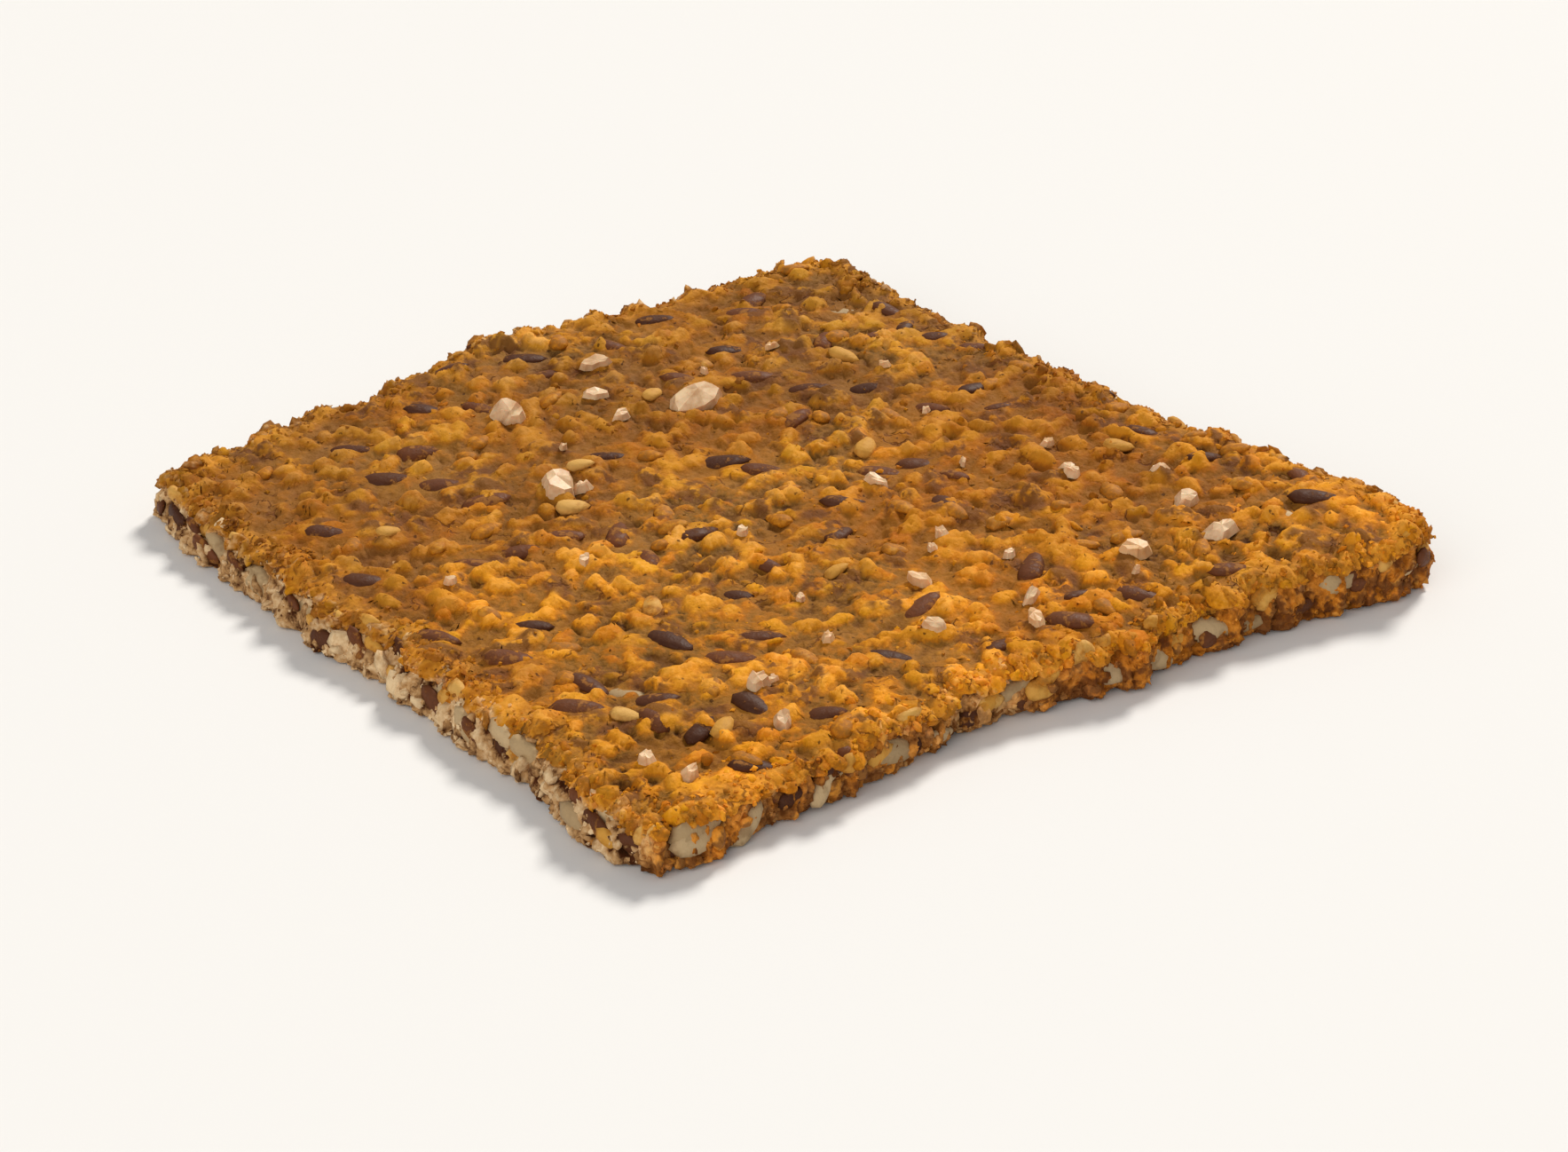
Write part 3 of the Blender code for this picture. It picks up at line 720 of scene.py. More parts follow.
sesameSeeds = {
    # X and Y in mm and turn in degrees of the ones that show bare.
    "placed": (
        (-9.4, 13.6, -40), (-30.5, -22.5, -45), (-26.0, -28.4, 30), (3.5, 21.0, 20), (22.0, 17.5, -60),
        (-14.0, 8.0, -20), (12.0, 2.0, 35), (-28.5, 13.0, 10), (28.0, -12.0, -30), (-4.0, -14.0, -10),
    ),
    "scattered": 45, "apart": 2.6, "limit": 36.0,
    "inCuts": {"count": 70, "sink": 0.25, "between": (0.3, 0.97), "size": (0.75, 1.0)},
    "size": (3.1, 1.95, 1.15), "anySize": (0.78, 1.05), "clear": 1.8, "lean": 0.25,
    "sink": 0.22, "looseSink": (0.3, 0.6), "raised": 0.14,
    "bare": 0.75, "looseBare": (0, 0.4), "cutBare": 0.6,  # how much of a seed shows bare
    "form": (8, 7, 0.45, 1.0), "bend": 0.05, "wobble": 0.05,
    "seed": 102,
}

sunflowerPieces = {
    "inCuts": {"count": 84, "sink": 0.34, "between": (0.2, 0.66)},
    "onTop": 4, "half": 31, "sunk": 0.6,
    "size": (5.6, 2.8, 2.1), "anySize": (0.5, 0.95),
    "form": (8, 7, 0.5, 0.9), "bend": 0.05, "wobble": 0.07,
    "sliced": 0.24,  # share of the thickness above the middle at which the knife went through
    "seed": 103,
}

saltFlakes = {
    # X, Y, length, width and thickness in mm, turn and tilt in degrees.
    "placed": (
        (5.5, 17.6, 5.6, 3.1, 1.3, 8, 36), (-13.0, 11.1, 3.8, 3.1, 1.6, -30, 22),
        (-11.4, 10.3, 1.7, 1.2, 0.9, 10, 5), (-9.0, 24.7, 3.3, 3.0, 1.4, -20, 34),
        (2.6, 28.5, 3.0, 1.5, 0.8, -35, 10), (-0.8, 23.5, 2.2, 1.4, 0.6, -20, 5),
        (-1.3, 18.8, 2.0, 1.3, 0.6, 0, 10), (-5.9, -4.3, 1.2, 1.0, 0.7, 0, 5),
        (21.6, -13.0, 2.3, 1.6, 0.9, -60, 15), (8.1, -4.1, 3.0, 1.1, 0.7, -75, 15),
        (24.9, -23.4, 2.7, 1.9, 1.0, -20, 20), (27.0, -17.8, 2.4, 1.5, 0.6, 20, 5),
        (6.1, -14.8, 1.5, 1.2, 0.8, 40, 10), (15.4, -27.5, 2.6, 2.0, 1.1, -30, 20),
        (22.9, -29.5, 3.4, 2.2, 1.0, 10, 15), (0.0, -19.6, 2.5, 1.3, 0.9, -70, 20),
        (8.0, -20.9, 1.1, 0.9, 0.6, 0, 5), (4.7, -27.2, 1.9, 1.2, 0.8, 20, 25),
        (2.6, -30.4, 2.2, 1.4, 0.9, 60, 20), (-4.6, -27.0, 2.6, 1.3, 0.9, -60, 15),
        (23.9, -7.7, 1.2, 1.0, 0.6, 10, 5), (-11.5, -22.5, 1.3, 1.1, 0.7, 0, 10),
        (-22.2, -30.6, 1.8, 1.5, 0.9, 20, 15), (-20.6, -25.5, 1.7, 1.5, 1.0, 50, 15),
        (-32.0, -32.5, 1.8, 1.4, 0.9, 0, 20), (-33.2, -28.9, 1.7, 1.2, 0.8, 40, 15),
    ),
    "scattered": 12, "half": 34, "sides": 12,
    "looseSize": ((0.7, 1.3), (0.6, 1.0), (0.4, 0.7)), "looseTilt": 15,
    "tipped": (-0.6, -0.8), "lean": 0.1, "raised": (0.3, 0.22),
    "seed": 104,
}

crumbs = {
    # Counts on the top, along its rim, on the turned-under lip and on the torn face, and sizes in mm.
    "doughGrains": {
        "top": 150, "rim": 260, "lip": 420, "face": 300, "size": (0.5, 1.6), "flatness": 0.5, "sink": 0.16,
        "split": 2, "jitter": 0.28, "seed": 111,
    },
    "fineCrumbs": {
        "top": 500, "rim": 600, "lip": 2000, "face": 3600, "size": (0.2, 0.62), "flatness": 0.7, "sink": 0.0,
        "split": 1, "jitter": 0.4, "seed": 112,
    },
    "tornLumps": {
        "top": 0, "rim": 0, "lip": 300, "face": 900, "size": (0.6, 2.0), "flatness": 0.5, "sink": 0.24,
        "split": 2, "jitter": 0.26, "seed": 113,
    },
}


def onTop(fields, rows):
    # Height and upward direction of the top, without its finest bumps, at the X and Y of each row.
    z, slopeX, slopeY = (fields.read(name, *rows[:, :2].T) for name in ("smoothTop", "slopeX", "slopeY"))
    return z, np.stack([-slopeX, -slopeY, np.ones_like(z)], axis=1)


def keptInside(places, clear):
    # Places moved straight inwards until they're that far inside the outline.
    rim = cutOutline(120)
    outward = outwardOf(rim, 3)
    clear = clear + 0.5 * slopeRound(120)
    nearest = ((places[:, None] - rim[None]) ** 2).sum(axis=-1).argmin(axis=1)
    inside = ((rim[nearest] - places) * outward[nearest]).sum(axis=1)
    return places - outward[nearest] * np.maximum(clear[nearest] - inside, 0)[:, None]


def scatteredPlaces(draw, settings, others, limit=33.5):
    # Seeded places in plan that keep clear of each other and of everything that has its own place.
    taken = [np.array(row[:2]) for kind in (settings, *others) for row in kind["placed"]]
    found = []
    while len(found) < settings["scattered"]:
        place = draw.uniform(-limit, limit, 2)
        if all(np.hypot(*(place - other)) > settings["apart"] for other in taken):
            found.append(place)
            taken.append(place)
    return np.array(found)


def bentSeeds(settings, count, draw):
    # The seed's form once for each, bent sideways and downwards by a parabola and made a little uneven.
    form, faces = seedForm(*settings["form"])
    bend = settings["bend"]
    forms = np.repeat(form[None], count, axis=0)
    curve = forms[..., 0] ** 2 * 4
    forms[..., 1] += draw.uniform(-bend, bend, (count, 1)) * curve
    forms[..., 2] -= draw.uniform(0, bend, (count, 1)) * curve
    return forms * (1 + settings["wobble"] * draw.uniform(-1, 1, forms.shape[:2]))[..., None], faces


cutSlant = {"upwards": 0.18, "sideways": 0.12, "slant": 0.4, "lowest": 1.35}  # the lowest place is in mm


def placesInCuts(settings, where, draw):
    # Points of the cut face, sunk into it, with turns that lay a seed along the cut in a random slant.
    low, high = settings["between"]
    count = settings["count"]
    share = where["cutShare"]
    pool = where["cut"][(share > low) & (share < high) & where["shown"]]
    pick = draw.choice(pool, count, replace=False)
    normals = np.column_stack([where["outward"][pick], draw.normal(0, cutSlant["upwards"], count)])
    normals[:, :2] += draw.normal(0, cutSlant["sideways"], (count, 2))
    normals = unit(normals)
    along = unit(np.cross([0.0, 0.0, 1.0], normals))
    slant = draw.normal(0, cutSlant["slant"], count)[:, None]
    first = along * np.cos(slant) + np.cross(normals, along) * np.sin(slant)
    places = where["points"][pick] - normals * settings["sink"]
    places[:, 2] = np.maximum(places[:, 2], cutSlant["lowest"])
    return places, np.stack([first, np.cross(normals, first), normals], axis=2)


def seedsInCuts(settings, where, draw):
    # Places, turns and sizes of the seeds that show in the cuts.
    cuts = settings["inCuts"]
    places, turns = placesInCuts(cuts, where, draw)
    return places, turns, settings["size"] * draw.uniform(*cuts["size"], (cuts["count"], 1))


def seedsBelow(kind, settings):
    # Places, turns and sizes of the seeds that lie in the underside, their flat side down.
    rows = seedsUnder(kind)
    places = np.column_stack([rows[:, :2], np.full(len(rows), underRelief["seedDepth"])])
    down = np.tile((0.0, 0.0, -1.0), (len(rows), 1))
    return places, turnsOnto(down, rows[:, 2]), rows[:, 3:4] * settings["size"]


def pieceOf(name, forms, faces, groups, layers, smooth=True):
    # One piece from groups of places, turns and sizes.
    places, turns, sizes = (np.concatenate(part) for part in zip(*groups))
    return makePiece(name, *repeatedForm(forms, faces, places, turns, sizes, layers), smooth)


def makeFlax(fields, where):
    # Placed and scattered hulls on the top, each sunk by a share of its thickness, more in cuts and below.
    settings = flaxSeeds
    draw = np.random.default_rng(settings["seed"])
    loose = scatteredPlaces(draw, settings, [saltFlakes])
    count = len(loose)
    extra = np.column_stack([
        loose, draw.uniform(-90, 90, count),
        draw.uniform(*settings["looseSize"], count), draw.uniform(*settings["looseDepth"], count),
    ])
    rows = np.vstack([settings["placed"], extra])
    rows[:, :2] = keptInside(rows[:, :2], settings["clear"])
    z, up = onTop(fields, rows)
    up[:, :2] += draw.uniform(-settings["lean"], settings["lean"], (len(rows), 2))
    size = settings["size"] * rows[:, 3:4]
    least, more = settings["sink"]
    places = np.column_stack([rows[:, :2], z - size[:, 2] * (least + more * rows[:, 4])])
    groups = (
        (places, turnsOnto(up, np.radians(rows[:, 2])), size),
        seedsInCuts(settings, where, draw), seedsBelow("flax", settings),
    )
    every = sum(len(group[0]) for group in groups)
    forms, faces = bentSeeds(settings, every, draw)
    return pieceOf("flaxSeeds", forms, faces, groups, {"tint": draw.uniform(-1, 1, every)})


def makeSesame(fields, where):
    # Sesame as the flax is laid, with a share of each seed bare and the rest under dough.
    settings = sesameSeeds
    draw = np.random.default_rng(settings["seed"])
    loose = scatteredPlaces(draw, settings, [saltFlakes, flaxSeeds], settings["limit"])
    placed, count = len(settings["placed"]), len(loose)
    rows = np.vstack([settings["placed"], np.column_stack([loose, draw.uniform(-90, 90, count)])])
    rows[:, :2] = keptInside(rows[:, :2], settings["clear"])
    z, up = onTop(fields, rows)
    up[:, :2] += draw.uniform(-settings["lean"], settings["lean"], (len(rows), 2))
    size = settings["size"] * draw.uniform(*settings["anySize"], (len(rows), 1))
    sink = np.concatenate([np.full(placed, settings["sink"]), draw.uniform(*settings["looseSink"], count)])
    places = np.column_stack([rows[:, :2], z + settings["raised"] - size[:, 2] * (sink - 0.3)])
    groups = (
        (places, turnsOnto(up, np.radians(rows[:, 2])), size),
        seedsInCuts(settings, where, draw), seedsBelow("sesame", settings),
    )
    every = sum(len(group[0]) for group in groups)
    bare = np.concatenate([
        np.full(placed, settings["bare"]), draw.uniform(*settings["looseBare"], count),
        np.full(every - len(rows), settings["cutBare"]),
    ])
    layers = {"tint": draw.uniform(-1, 1, every), "bare": bare}
    forms, faces = bentSeeds(settings, every, draw)
    return pieceOf("sesameSeeds", forms, faces, groups, layers)


def makeSunflower(fields, where):
    # Kernels in the cuts with their outer side sliced level, and a few sunk in the top.
    settings = sunflowerPieces
    draw = np.random.default_rng(settings["seed"])
    cutPlaces, cutTurns = placesInCuts(settings["inCuts"], where, draw)
    loose = draw.uniform(-settings["half"], settings["half"], (settings["onTop"], 2))
    z, up = onTop(fields, loose)
    turns = turnsOnto(up, draw.uniform(-3, 3, len(loose)))
    every = len(cutPlaces) + len(loose)
    size = settings["size"] * draw.uniform(*settings["anySize"], (every, 1))
    forms, faces = bentSeeds(settings, every, draw)
    forms[..., 2] = np.minimum(forms[..., 2], settings["sliced"] + 0.12 * (forms[..., 2] > 0.4))
    groups = (
        (cutPlaces, cutTurns, size[: len(cutPlaces)]),
        (np.column_stack([loose, z - settings["sunk"]]), turns, size[len(cutPlaces) :]),
    )
    return pieceOf("sunflowerPieces", forms, faces, groups, {"tint": draw.uniform(-1, 1, every)})


def flakeForms(count, sides, draw):
    # Shards: an uneven ring of corners below, a smaller shifted one above, and a blunt cap on each.
    angle = np.linspace(0, 2 * math.pi, sides, endpoint=False) + draw.uniform(-0.18, 0.18, (count, sides))
    reach = draw.uniform(0.35, 0.68, (count, sides))
    # A third of each corner's reach is the one before it's, and a two-humped wave makes the ring oblong.
    reach = 0.65 * reach + 0.35 * np.roll(reach, 1, axis=1)
    reach *= 0.93 + 0.14 * np.sin(2 * angle + draw.uniform(0, 6.28, (count, 1)))
    across, along = reach * np.cos(angle), reach * np.sin(angle)
    low = np.stack([across, along, np.full_like(reach, -0.5)], axis=-1)
    shrink = draw.uniform(0.55, 0.85, (count, 1))
    high = np.stack([
        across * shrink + draw.uniform(-0.08, 0.08, (count, 1)),
        along * shrink + draw.uniform(-0.08, 0.08, (count, 1)),
        0.5 + draw.uniform(-0.34, 0.05, (count, sides)),
    ], axis=-1)
    middle = high.mean(axis=1, keepdims=True) + draw.uniform(-0.1, 0.14, (count, 1, 3))
    points = np.concatenate([low, high, middle, low.mean(axis=1, keepdims=True)], axis=1)
    ring = np.arange(sides)
    walls = np.roll(ringFaces(np.stack([sides + ring, ring])), -1, axis=1)
    return points, [walls, fanFaces(sides + ring, 2 * sides), fanFaces(ring[::-1], 2 * sides + 1)]


def makeSalt(fields):
    # Placed and scattered shards, tilted and raised above the top by a share of their thickness.
    settings = saltFlakes
    draw = np.random.default_rng(settings["seed"])
    count = settings["scattered"]
    loose = draw.uniform(-settings["half"], settings["half"], (count, 2))
    extra = np.column_stack([
        loose, *(draw.uniform(*span, count) for span in settings["looseSize"]),
        draw.uniform(-90, 90, count), draw.uniform(0, settings["looseTilt"], count),
    ])
    rows = np.vstack([settings["placed"], extra])
    z, up = onTop(fields, rows)
    tilt = np.tan(np.radians(rows[:, 6]))
    # The near side of each flake tips down a little, so that its face shows.
    lean = draw.uniform(-settings["lean"], settings["lean"], (len(rows), 2))
    up[:, :2] += tilt[:, None] * np.array(settings["tipped"]) + lean
    least, more = settings["raised"]
    places = np.column_stack([rows[:, :2], z + least + more * rows[:, 4]])
    forms, faces = flakeForms(len(rows), settings["sides"], draw)
    groups = [(places, turnsOnto(up, np.radians(rows[:, 5])), rows[:, 2:5])]
    return pieceOf("saltFlakes", forms, faces, groups, {"tint": draw.uniform(-1, 1, len(rows))}, smooth=False)


def makeCrumbs(name, onSheet, onCore):
    # Uneven flattened lumps set on points of the crust and of the torn face, sunk a share of their size.
    settings = crumbs[name]
    draw = np.random.default_rng(settings["seed"])
    nearRim = onSheet["topRim"] ** 1.5
    shown = (onCore["cutShare"] > 0.04) & onCore["shown"]
    pools = (
        (onSheet, onSheet["top"], None, settings["top"], 0.0),
        (onSheet, onSheet["top"], nearRim / nearRim.sum(), settings["rim"], 0.05),
        (onSheet, onSheet["rim"], None, settings["lip"], 0.35),
        (onCore, onCore["cut"][shown], None, settings["face"], 1.0),
    )
    picked = []
    for source, pool, weights, count, cut in pools:
        pick = draw.choice(pool, count, replace=False, p=weights)
        picked.append((source["points"][pick], source["normals"][pick], np.full(count, cut)))
    points, normals, cut = (np.concatenate(part) for part in zip(*picked))
    count = len(points)
    form, faces = lumpForm(settings["split"])
    low, high = settings["size"]
    across = low + (high - low) * draw.uniform(0, 1, (count, 1)) ** 2
    size = across * draw.uniform(0.7, 1.3, (count, 3)) * np.array((1.0, 1.0, settings["flatness"]))
    up = normals + draw.normal(0, 0.35, (count, 3))
    places = points - normals * across * settings["sink"]
    places[:, 2] = np.maximum(places[:, 2], size.max(axis=1) * 0.66)
    layers = {"tint": draw.uniform(-1, 1, count), "relief": draw.uniform(-0.2, 0.9, count), "cut": cut}
    # The form once for each crumb, with every point pushed in or out at random.
    forms = form[None] * (1 + settings["jitter"] * draw.uniform(-1, 1, (count, len(form), 1)))
    groups = [(places, turnsOnto(up, draw.uniform(-3.1, 3.1, count)), size)]
    return pieceOf(name, forms, faces, groups, layers, smooth=settings["split"] > 1)


# Materials

def colour(red, green, blue):
    # A colour as a picture program gives it, 0 to 255, made linear for the shader.
    parts = (red, green, blue)
    linear = [(c / 255 / 12.92) if c <= 10 else ((c / 255 + 0.055) / 1.055) ** 2.4 for c in parts]
    return (*linear, 1.0)


class Shader:
    # A node tree with short calls for the nodes used here.
    def __init__(self, name):
        self.material = bpy.data.materials.new(name)
        self.material.use_nodes = True
        self.tree = self.material.node_tree
        self.out = self.tree.nodes["Principled BSDF"]
        self.coords = self.tree.nodes.new("ShaderNodeTexCoord").outputs["Object"]

    def put(self, socket, value):
        if isinstance(value, bpy.types.NodeSocket):
            self.tree.links.new(value, socket)
        else:
            socket.default_value = value

    def node(self, kind, output, inputs, **settings):
        # A new node with its settings and inputs, of which one output is handed back.
        new = self.tree.nodes.new("ShaderNode" + kind)
        for name, value in settings.items():
            setattr(new, name, value)
        for socket, value in inputs.items():
            self.put(new.inputs[socket], value)
        return new.outputs[output]

    def attribute(self, name):
        return self.node("Attribute", "Fac", {}, attribute_name=name)

    def noise(self, wavelength, detail, roughness):
        scale = 1 / (wavelength * mm)
        inputs = {"Vector": self.coords, "Scale": scale, "Detail": detail, "Roughness": roughness}
        return self.node("TexNoise", "Fac", inputs)

    def cells(self, wavelength):
        return self.node("TexVoronoi", "Distance", {"Vector": self.coords, "Scale": 1 / (wavelength * mm)})

    def towards(self, direction, low, high):
        # Zero to one as the place goes along a direction from low to high, in mm.
        reach = self.node("VectorMath", "Value", {0: self.coords, 1: direction}, operation="DOT_PRODUCT")
        return self.span(reach, low * mm, high * mm)

    def math(self, operation, *values):
        return self.node("Math", 0, dict(enumerate(values)), operation=operation)

    def times(self, first, second):
        return self.math("MULTIPLY", first, second)

    def sum(self, first, *others):
        for other in others:
            first = self.math("ADD", first, other)
        return first

    def swing(self, value, by):
        # A noise about its middle, times a number.
        return self.math("MULTIPLY_ADD", value, by, -by / 2)

    def span(self, value, low, high, to0=0.0, to1=1.0):
        # From to0 where the value is low to to1 where it is high, by a smooth step.
        names = ("Value", "From Min", "From Max", "To Min", "To Max")
        inputs = dict(zip(names, (value, low, high, to0, to1)))
        return self.node("MapRange", "Result", inputs, interpolation_type="SMOOTHSTEP")

    def mix(self, factor, first, second, blend="MIX"):
        return self.node("Mix", 2, {0: factor, 6: first, 7: second}, data_type="RGBA", blend_type=blend)

    def ramp(self, factor, stops):
        new = self.tree.nodes.new("ShaderNodeValToRGB")
        self.put(new.inputs["Fac"], factor)
        elements = new.color_ramp.elements
        while len(elements) < len(stops):
            elements.new(0.5)
        for element, (place, shade) in zip(elements, stops):
            element.position = place
            element.color = shade
        return new.outputs["Color"]

    def bump(self, height, strength, distance):
        inputs = {"Height": height, "Strength": strength, "Distance": distance * mm}
        self.put(self.out.inputs["Normal"], self.node("Bump", "Normal", inputs))

    def finish(self, base, roughness, **sockets):
        self.put(self.out.inputs["Base Color"], base)
        self.put(self.out.inputs["Roughness"], roughness)
        for name, value in sockets.items():
            self.put(self.out.inputs[name.replace("_", " ")], value)
        return self.material


doughLook = {
    # Some of these are painted light and shade: the darkest colour, used in crevices; the dark of the torn
    # face and of its gaps at the near cut; the near cut's warm darkening; the crack colour; the near and far
    # tones; and browning, as far as it is laid on more towards the far side.
    "creviceShade": colour(54, 25, 3), "hollow": colour(134, 93, 36), "body": colour(172, 106, 19),
    "gold": colour(209, 137, 23), "tip": colour(232, 163, 68), "brownedAndFarShade": colour(132, 68, 12),
    "olive": colour(144, 98, 34), "yellow": colour(212, 149, 20), "orange": colour(196, 106, 12),
    "lumpGold": colour(213, 146, 44), "lowBrown": colour(152, 101, 40), "rimGold": colour(222, 152, 52),
    "seedStain": colour(98, 58, 32), "crackShade": colour(88, 42, 14), "nearGapShade": colour(96, 50, 20),
    "cutPitShade": colour(74, 34, 8), "cutBody": colour(186, 142, 92), "cutPale": colour(232, 202, 158),
    "underBrown": colour(146, 88, 28), "underGold": colour(186, 122, 44),
    # These five multiply.
    "warmer": (1.03, 0.96, 0.64, 1.0), "paler": (1.03, 1.06, 1.35, 1.0), "nearCutWarmShade": (0.98, 0.84, 0.56, 1.0),
    "nearPaintedLight": (1.1, 1.05, 0.8, 1.0), "farPaintedShade": (0.94, 1.02, 1.28, 1.0),
}


def doughMaterial(name, grainy):
    look = doughLook
    shader = Shader(name)
    layers = ("relief", "cut", "under", "tint", "flax", "swell", "rim")
    relief, cut, under, tint, flax, swell, rim = (shader.attribute(layer) for layer in layers)
    broad = shader.noise(17, 2, 0.55)
    farness = shader.towards((0.15, 1, 0), -38, 38)
    nearness = shader.towards((0.03, -1, 0), 33, 36.5)
    patch = shader.noise(5.5, 3, 0.6)
    blotch = shader.noise(8, 2, 0.5)
    paleness = shader.noise(5.2, 2, 0.5)
    warmth = shader.noise(11, 2, 0.5)
    mid = shader.noise(1.5, 3, 0.6)
    fine = shader.noise(0.45, 4, 0.65)
    grain = shader.cells(0.5)

    # Height, real and painted, runs the colour from the dark of crevices to bright crumb tips: painted shade
    # in hollows and crevices and painted light on raised lumps, mixed with random tone from the noises.
    tone = shader.math("MULTIPLY_ADD", relief, 0.3, 0.5)
    tone = shader.sum(tone, shader.swing(mid, 0.62), shader.swing(fine, 0.66), shader.swing(blotch, 0.5))
    tone = shader.sum(tone, shader.times(swell, 0.1), shader.swing(grain, -0.14))
    crust = shader.ramp(tone, (
        (0.06, look["creviceShade"]), (0.28, look["hollow"]), (0.5, look["body"]), (0.7, look["gold"]),
        (0.96, look["tip"]),
    ))
    raised = shader.span(relief, -0.2, 0.5)
    # Browning in broad random patches, laid on more towards the far side; that far-side part is painted
    # shade.
    browningAndFarShade = shader.math("MULTIPLY_ADD", farness, 0.22, broad)
    for share, key in (
        (shader.times(shader.span(tint, 0.0, 0.8, 0.0, 0.6), raised), "yellow"),
        (shader.times(shader.span(tint, -0.3, -0.9, 0.0, 0.48), raised), "orange"),
        (shader.span(browningAndFarShade, 0.5, 0.76, 0.0, 0.55), "brownedAndFarShade"),
        (shader.times(shader.span(patch, 0.42, 0.62, 0.0, 0.42), shader.span(relief, 0.4, -0.3)), "olive"),
        # Gold on raised lumps, varied by lump, is partly their own colour and partly painted light, and the
        # browner low places between them are painted shade.
        (shader.times(shader.span(swell, 0.0, 0.9), shader.span(tint, -0.8, 0.6, 0.05, 0.4)), "lumpGold"),
        (shader.span(swell, -0.1, -0.9, 0.0, 0.38), "lowBrown"),
    ):
        crust = shader.mix(share, crust, look[key])
    # Patches of several millimetres are warmer, paler, lighter or darker, with the detail kept. Last, the top
    # is warmer and lighter towards the near side and cooler and darker towards the far side: painted light
    # and shade.
    for share, factor in (
        (shader.span(warmth, 0.44, 0.62), look["warmer"]), (shader.span(paleness, 0.44, 0.6), look["paler"]),
        (1.0, shader.span(blotch, 0.34, 0.64, 0.84, 1.1)), (1.0, shader.span(broad, 0.36, 0.66, 1.07, 0.9)),
        (1.0, shader.mix(farness, look["nearPaintedLight"], look["farPaintedShade"])),
    ):
        crust = shader.mix(share, crust, factor, "MULTIPLY")
    # The rim is bright, short cracks run where one noise crosses its middle and another is high, darkened as
    # painted shade in their grooves, and seeds under the dough stain it.
    line = shader.math("ABSOLUTE", shader.math("SUBTRACT", shader.noise(2.6, 3, 0.5), 0.5))
    cracked = shader.math("MULTIPLY_ADD", rim, 0.06, shader.noise(3.1, 2, 0.5))
    cracks = shader.times(shader.span(line, 0.004, 0.03, 1.0, 0.0), shader.span(cracked, 0.56, 0.66))
    cracks = shader.times(cracks, shader.span(swell, 0.9, 0.0))
    stain = shader.times(flax, shader.span(shader.math("MULTIPLY_ADD", tint, 0.1, mid), 0.4, 0.54))
    for share, key in (
        (shader.times(shader.span(rim, 0.25, 0.9), shader.span(mid, 0.38, 0.6, 0.1, 0.6)), "rimGold"),
        (shader.times(cracks, 0.7), "crackShade"),
        (shader.span(shader.noise(0.62, 2, 0.5), 0.66, 0.74, 0.0, 0.75), "creviceShade"),
        (shader.times(stain, 0.8), "seedStain"),
    ):
        crust = shader.mix(share, crust, look[key])

    # Torn dough is paler, with the dark of painted shade in its pits. At the near cut crust colour is mixed
    # in, partly crust on the face and partly painted warm light, and the cut is darkened and warmed as
    # painted shade, more in gaps and low down.
    torn = shader.ramp(shader.math("MULTIPLY_ADD", relief, 0.16, tone), (
        (0.12, look["creviceShade"]), (0.34, look["cutPitShade"]), (0.56, look["cutBody"]), (0.9, look["cutPale"])
    ))
    torn = shader.mix(shader.times(nearness, shader.span(mid, 0.35, 0.6, 0.45, 0.85)), torn, crust)
    torn = shader.mix(nearness, torn, look["nearCutWarmShade"], "MULTIPLY")
    lowness = shader.towards((0, 0, -1), -4.6, -1.2)
    gapShade = shader.span(shader.math("MULTIPLY_ADD", lowness, -0.11, mid), 0.5, 0.36, 0.0, 0.75)
    torn = shader.mix(shader.times(nearness, gapShade), torn, look["nearGapShade"])
    base = shader.mix(shader.span(shader.sum(cut, shader.swing(mid, 1.1)), 0.25, 0.8), crust, torn)
    pressed = shader.times(under, shader.span(relief, -0.2, 0.7, 0.15, 0.7))
    below = shader.mix(shader.span(patch, 0.38, 0.62), look["underBrown"], look["underGold"])
    base = shader.mix(pressed, base, below)

    parts = ((fine, 0.8), (grain, -0.35), (mid, 0.6), (cracks, -0.5))
    shader.bump(shader.sum(*(shader.times(value, by) for value, by in parts)), grainy, 0.3)
    return shader.finish(base, shader.span(fine, 0.3, 0.7, 0.85, 0.68), Specular_IOR_Level=0.12)


def flaxMaterial():
    shader = Shader("flaxHull")
    tint = shader.attribute("tint")
    fine = shader.noise(0.35, 3, 0.6)
    dust = shader.noise(1.1, 4, 0.65)
    hull = shader.mix(shader.span(tint, -1, 1), colour(68, 35, 18), colour(110, 61, 30))
    hull = shader.mix(shader.span(fine, 0.35, 0.7, 0.0, 0.45), hull, colour(82, 47, 24))
    # Dough still clings to much of each hull.
    cling = shader.math("MULTIPLY_ADD", tint, 0.05, dust)
    base = shader.mix(shader.span(cling, 0.55, 0.65, 0.0, 0.9), hull, colour(150, 98, 42))
    shader.bump(shader.sum(fine, shader.times(dust, 2.0)), 0.4, 0.14)
    return shader.finish(base, shader.span(cling, 0.46, 0.58, 0.55, 0.8), Specular_IOR_Level=0.18)


def sesameMaterial():
    shader = Shader("sesameSkin")
    tint, bare = shader.attribute("tint"), shader.attribute("bare")
    fine = shader.noise(0.4, 4, 0.6)
    mid = shader.noise(1.3, 3, 0.6)
    skin = shader.mix(shader.span(tint, -1, 1), colour(200, 144, 56), colour(214, 166, 88))
    stops = ((place, doughLook[key]) for place, key in ((0.2, "hollow"), (0.5, "body"), (0.75, "gold")))
    coat = shader.ramp(shader.sum(fine, shader.swing(mid, 0.6)), tuple(stops))
    base = shader.mix(shader.span(shader.sum(bare, shader.swing(mid, 1.4)), 0.3, 0.75), coat, skin)
    shader.bump(fine, 0.5, 0.2)
    return shader.finish(base, 0.66, Specular_IOR_Level=0.2)


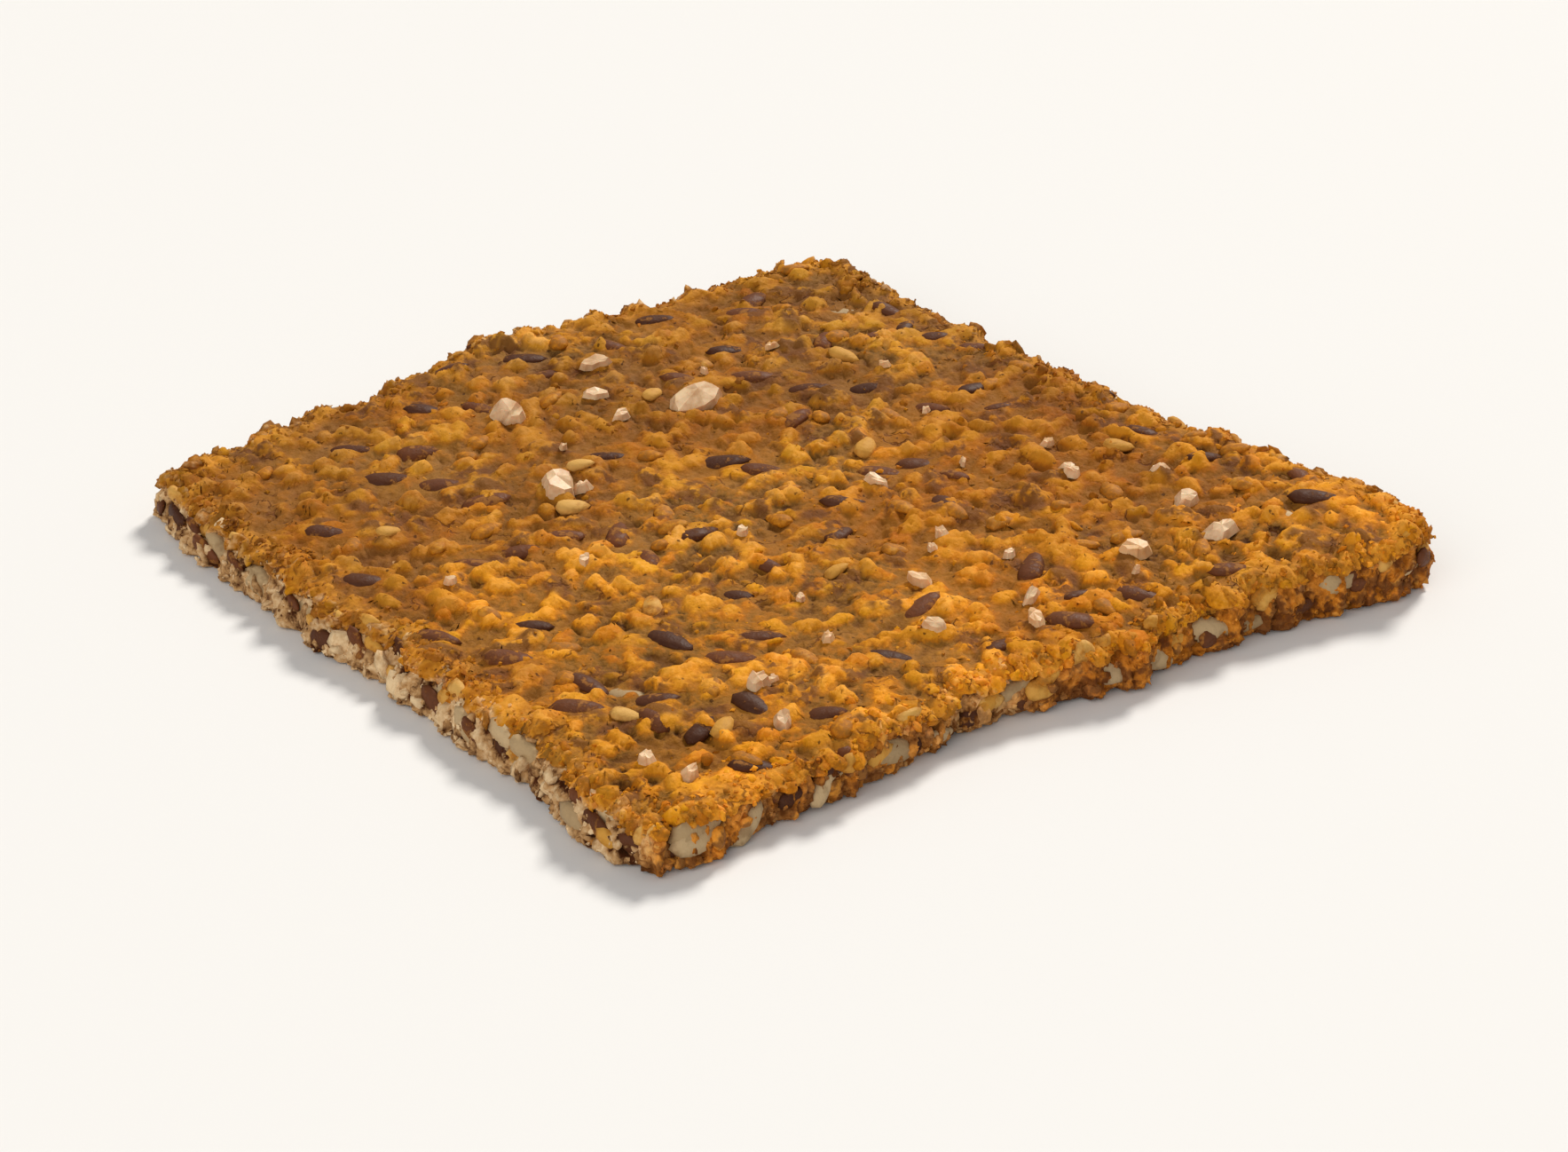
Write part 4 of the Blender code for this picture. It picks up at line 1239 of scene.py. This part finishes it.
def sunflowerMaterial():
    shader = Shader("sunflowerKernel")
    paler = shader.span(shader.attribute("tint"), -1, 1)
    flesh = shader.mix(paler, colour(166, 138, 98), colour(198, 170, 128))
    patches = shader.span(shader.noise(1.8, 3, 0.6), 0.5, 0.68, 0.0, 0.7)
    shader.bump(shader.noise(0.5, 4, 0.6), 0.5, 0.25)
    return shader.finish(shader.mix(patches, flesh, colour(142, 112, 74)), 0.6, Specular_IOR_Level=0.25)


def saltMaterial():
    shader = Shader("saltCrystal")
    mid = shader.noise(1.0, 3, 0.6)
    base = shader.mix(shader.span(mid, 0.35, 0.7), colour(230, 198, 158), colour(208, 166, 122))
    stained = shader.span(shader.attribute("tint"), 0.4, 1.0, 0.0, 0.5)
    base = shader.mix(stained, base, colour(214, 158, 88))
    shader.bump(mid, 0.4, 0.15)
    return shader.finish(base, 0.5, Specular_IOR_Level=0.4, Subsurface_Weight=0.15, Subsurface_Scale=0.0006)


# Camera, light and floor

view = {
    "place": (-160.6, -208.5, 131.8),  # mm
    "yaw": 37.893, "pitch": 27.124, "roll": 0.103,  # degrees
    "focalPixels": 4000.0, "framePixels": 1767.0, "sensor": 36.0,
}


def makeCamera():
    # The camera looks along yaw from +Y towards +X, down by the pitch, and leans by the roll.
    yaw, pitch, roll = (math.radians(view[key]) for key in ("yaw", "pitch", "roll"))
    ahead = Vector((math.cos(pitch) * math.sin(yaw), math.cos(pitch) * math.cos(yaw), -math.sin(pitch)))
    level = Vector((math.cos(yaw), -math.sin(yaw), 0))
    upright = level.cross(ahead)
    right = level * math.cos(roll) + upright * math.sin(roll)
    up = upright * math.cos(roll) - level * math.sin(roll)
    data = bpy.data.cameras.new("camera")
    data.sensor_width = view["sensor"]
    data.lens = view["focalPixels"] / view["framePixels"] * view["sensor"]
    data.clip_start = 0.01
    camera = bpy.data.objects.new("camera", data)
    camera.matrix_world = Matrix((*zip(right, up, -ahead, Vector(view["place"]) * mm), (0, 0, 0, 1)))
    bpy.context.scene.collection.objects.link(camera)
    bpy.context.scene.camera = camera


studio = {
    "key": {"towards": (370, 160, 360), "spread": 14, "power": 3.05, "colour": (1.0, 0.95, 0.87)},
    "fill": {"towards": (-420, -200, 300), "spread": 60, "power": 1.35, "colour": (1.0, 0.96, 0.9)},
    "sky": 0.32,
    "floor": (0.8, 0.8, 0.8, 1.0),
    "floorHalf": 6000,  # mm
    "floorDrop": 0.02,  # mm, so that the underside's high spots and the floor aren't in one plane
}


def makeLight(name, towards, spread, power, colour):
    data = bpy.data.lights.new(name, "SUN")
    data.angle = math.radians(spread)
    data.energy = power
    data.color = colour
    lamp = bpy.data.objects.new(name, data)
    lamp.location = Vector(towards) * mm
    lamp.rotation_euler = (-lamp.location).to_track_quat("-Z", "Y").to_euler()
    bpy.context.scene.collection.objects.link(lamp)


def makeStudio():
    for name in ("key", "fill"):
        makeLight(name, **studio[name])
    scene = bpy.context.scene
    world = bpy.data.worlds.new("sky")
    world.use_nodes = True
    background = world.node_tree.nodes["Background"]
    background.inputs["Color"].default_value = (1, 1, 1, 1)
    background.inputs["Strength"].default_value = studio["sky"]
    scene.world = world
    scene.view_settings.view_transform = "Standard"
    half, drop = studio["floorHalf"], -studio["floorDrop"]
    corners = np.array([(x * half, y * half, drop) for x, y in ((-1, -1), (1, -1), (1, 1), (-1, 1))], float)
    floor = makePiece("floor", corners, [np.array([[0, 1, 2, 3]])], smooth=False)
    floor.data.materials.append(Shader("floorPaper").finish(studio["floor"], 0.9))


print("fields of the baked top")
fields = makeFields()
print("crust and crumb")
dough = doughMaterial("bakedDough", 0.7)
sheet, onSheet = makeCrustSheet(fields)
core, onCore = makeCrumbCore(fields)
for piece in (sheet, core, makeUnderside(makeUnderFields())):
    finishPiece(piece, dough)
print("seeds and salt")
finishPiece(makeFlax(fields, onCore), flaxMaterial())
finishPiece(makeSesame(fields, onCore), sesameMaterial())
finishPiece(makeSunflower(fields, onCore), sunflowerMaterial())
finishPiece(makeSalt(fields), saltMaterial())
print("crumbs")
crumbDough = doughMaterial("crumbDough", 0.6)
for name in crumbs:
    finishPiece(makeCrumbs(name, onSheet, onCore), crumbDough)
print("camera and light")
makeCamera()
makeStudio()

print("finished")
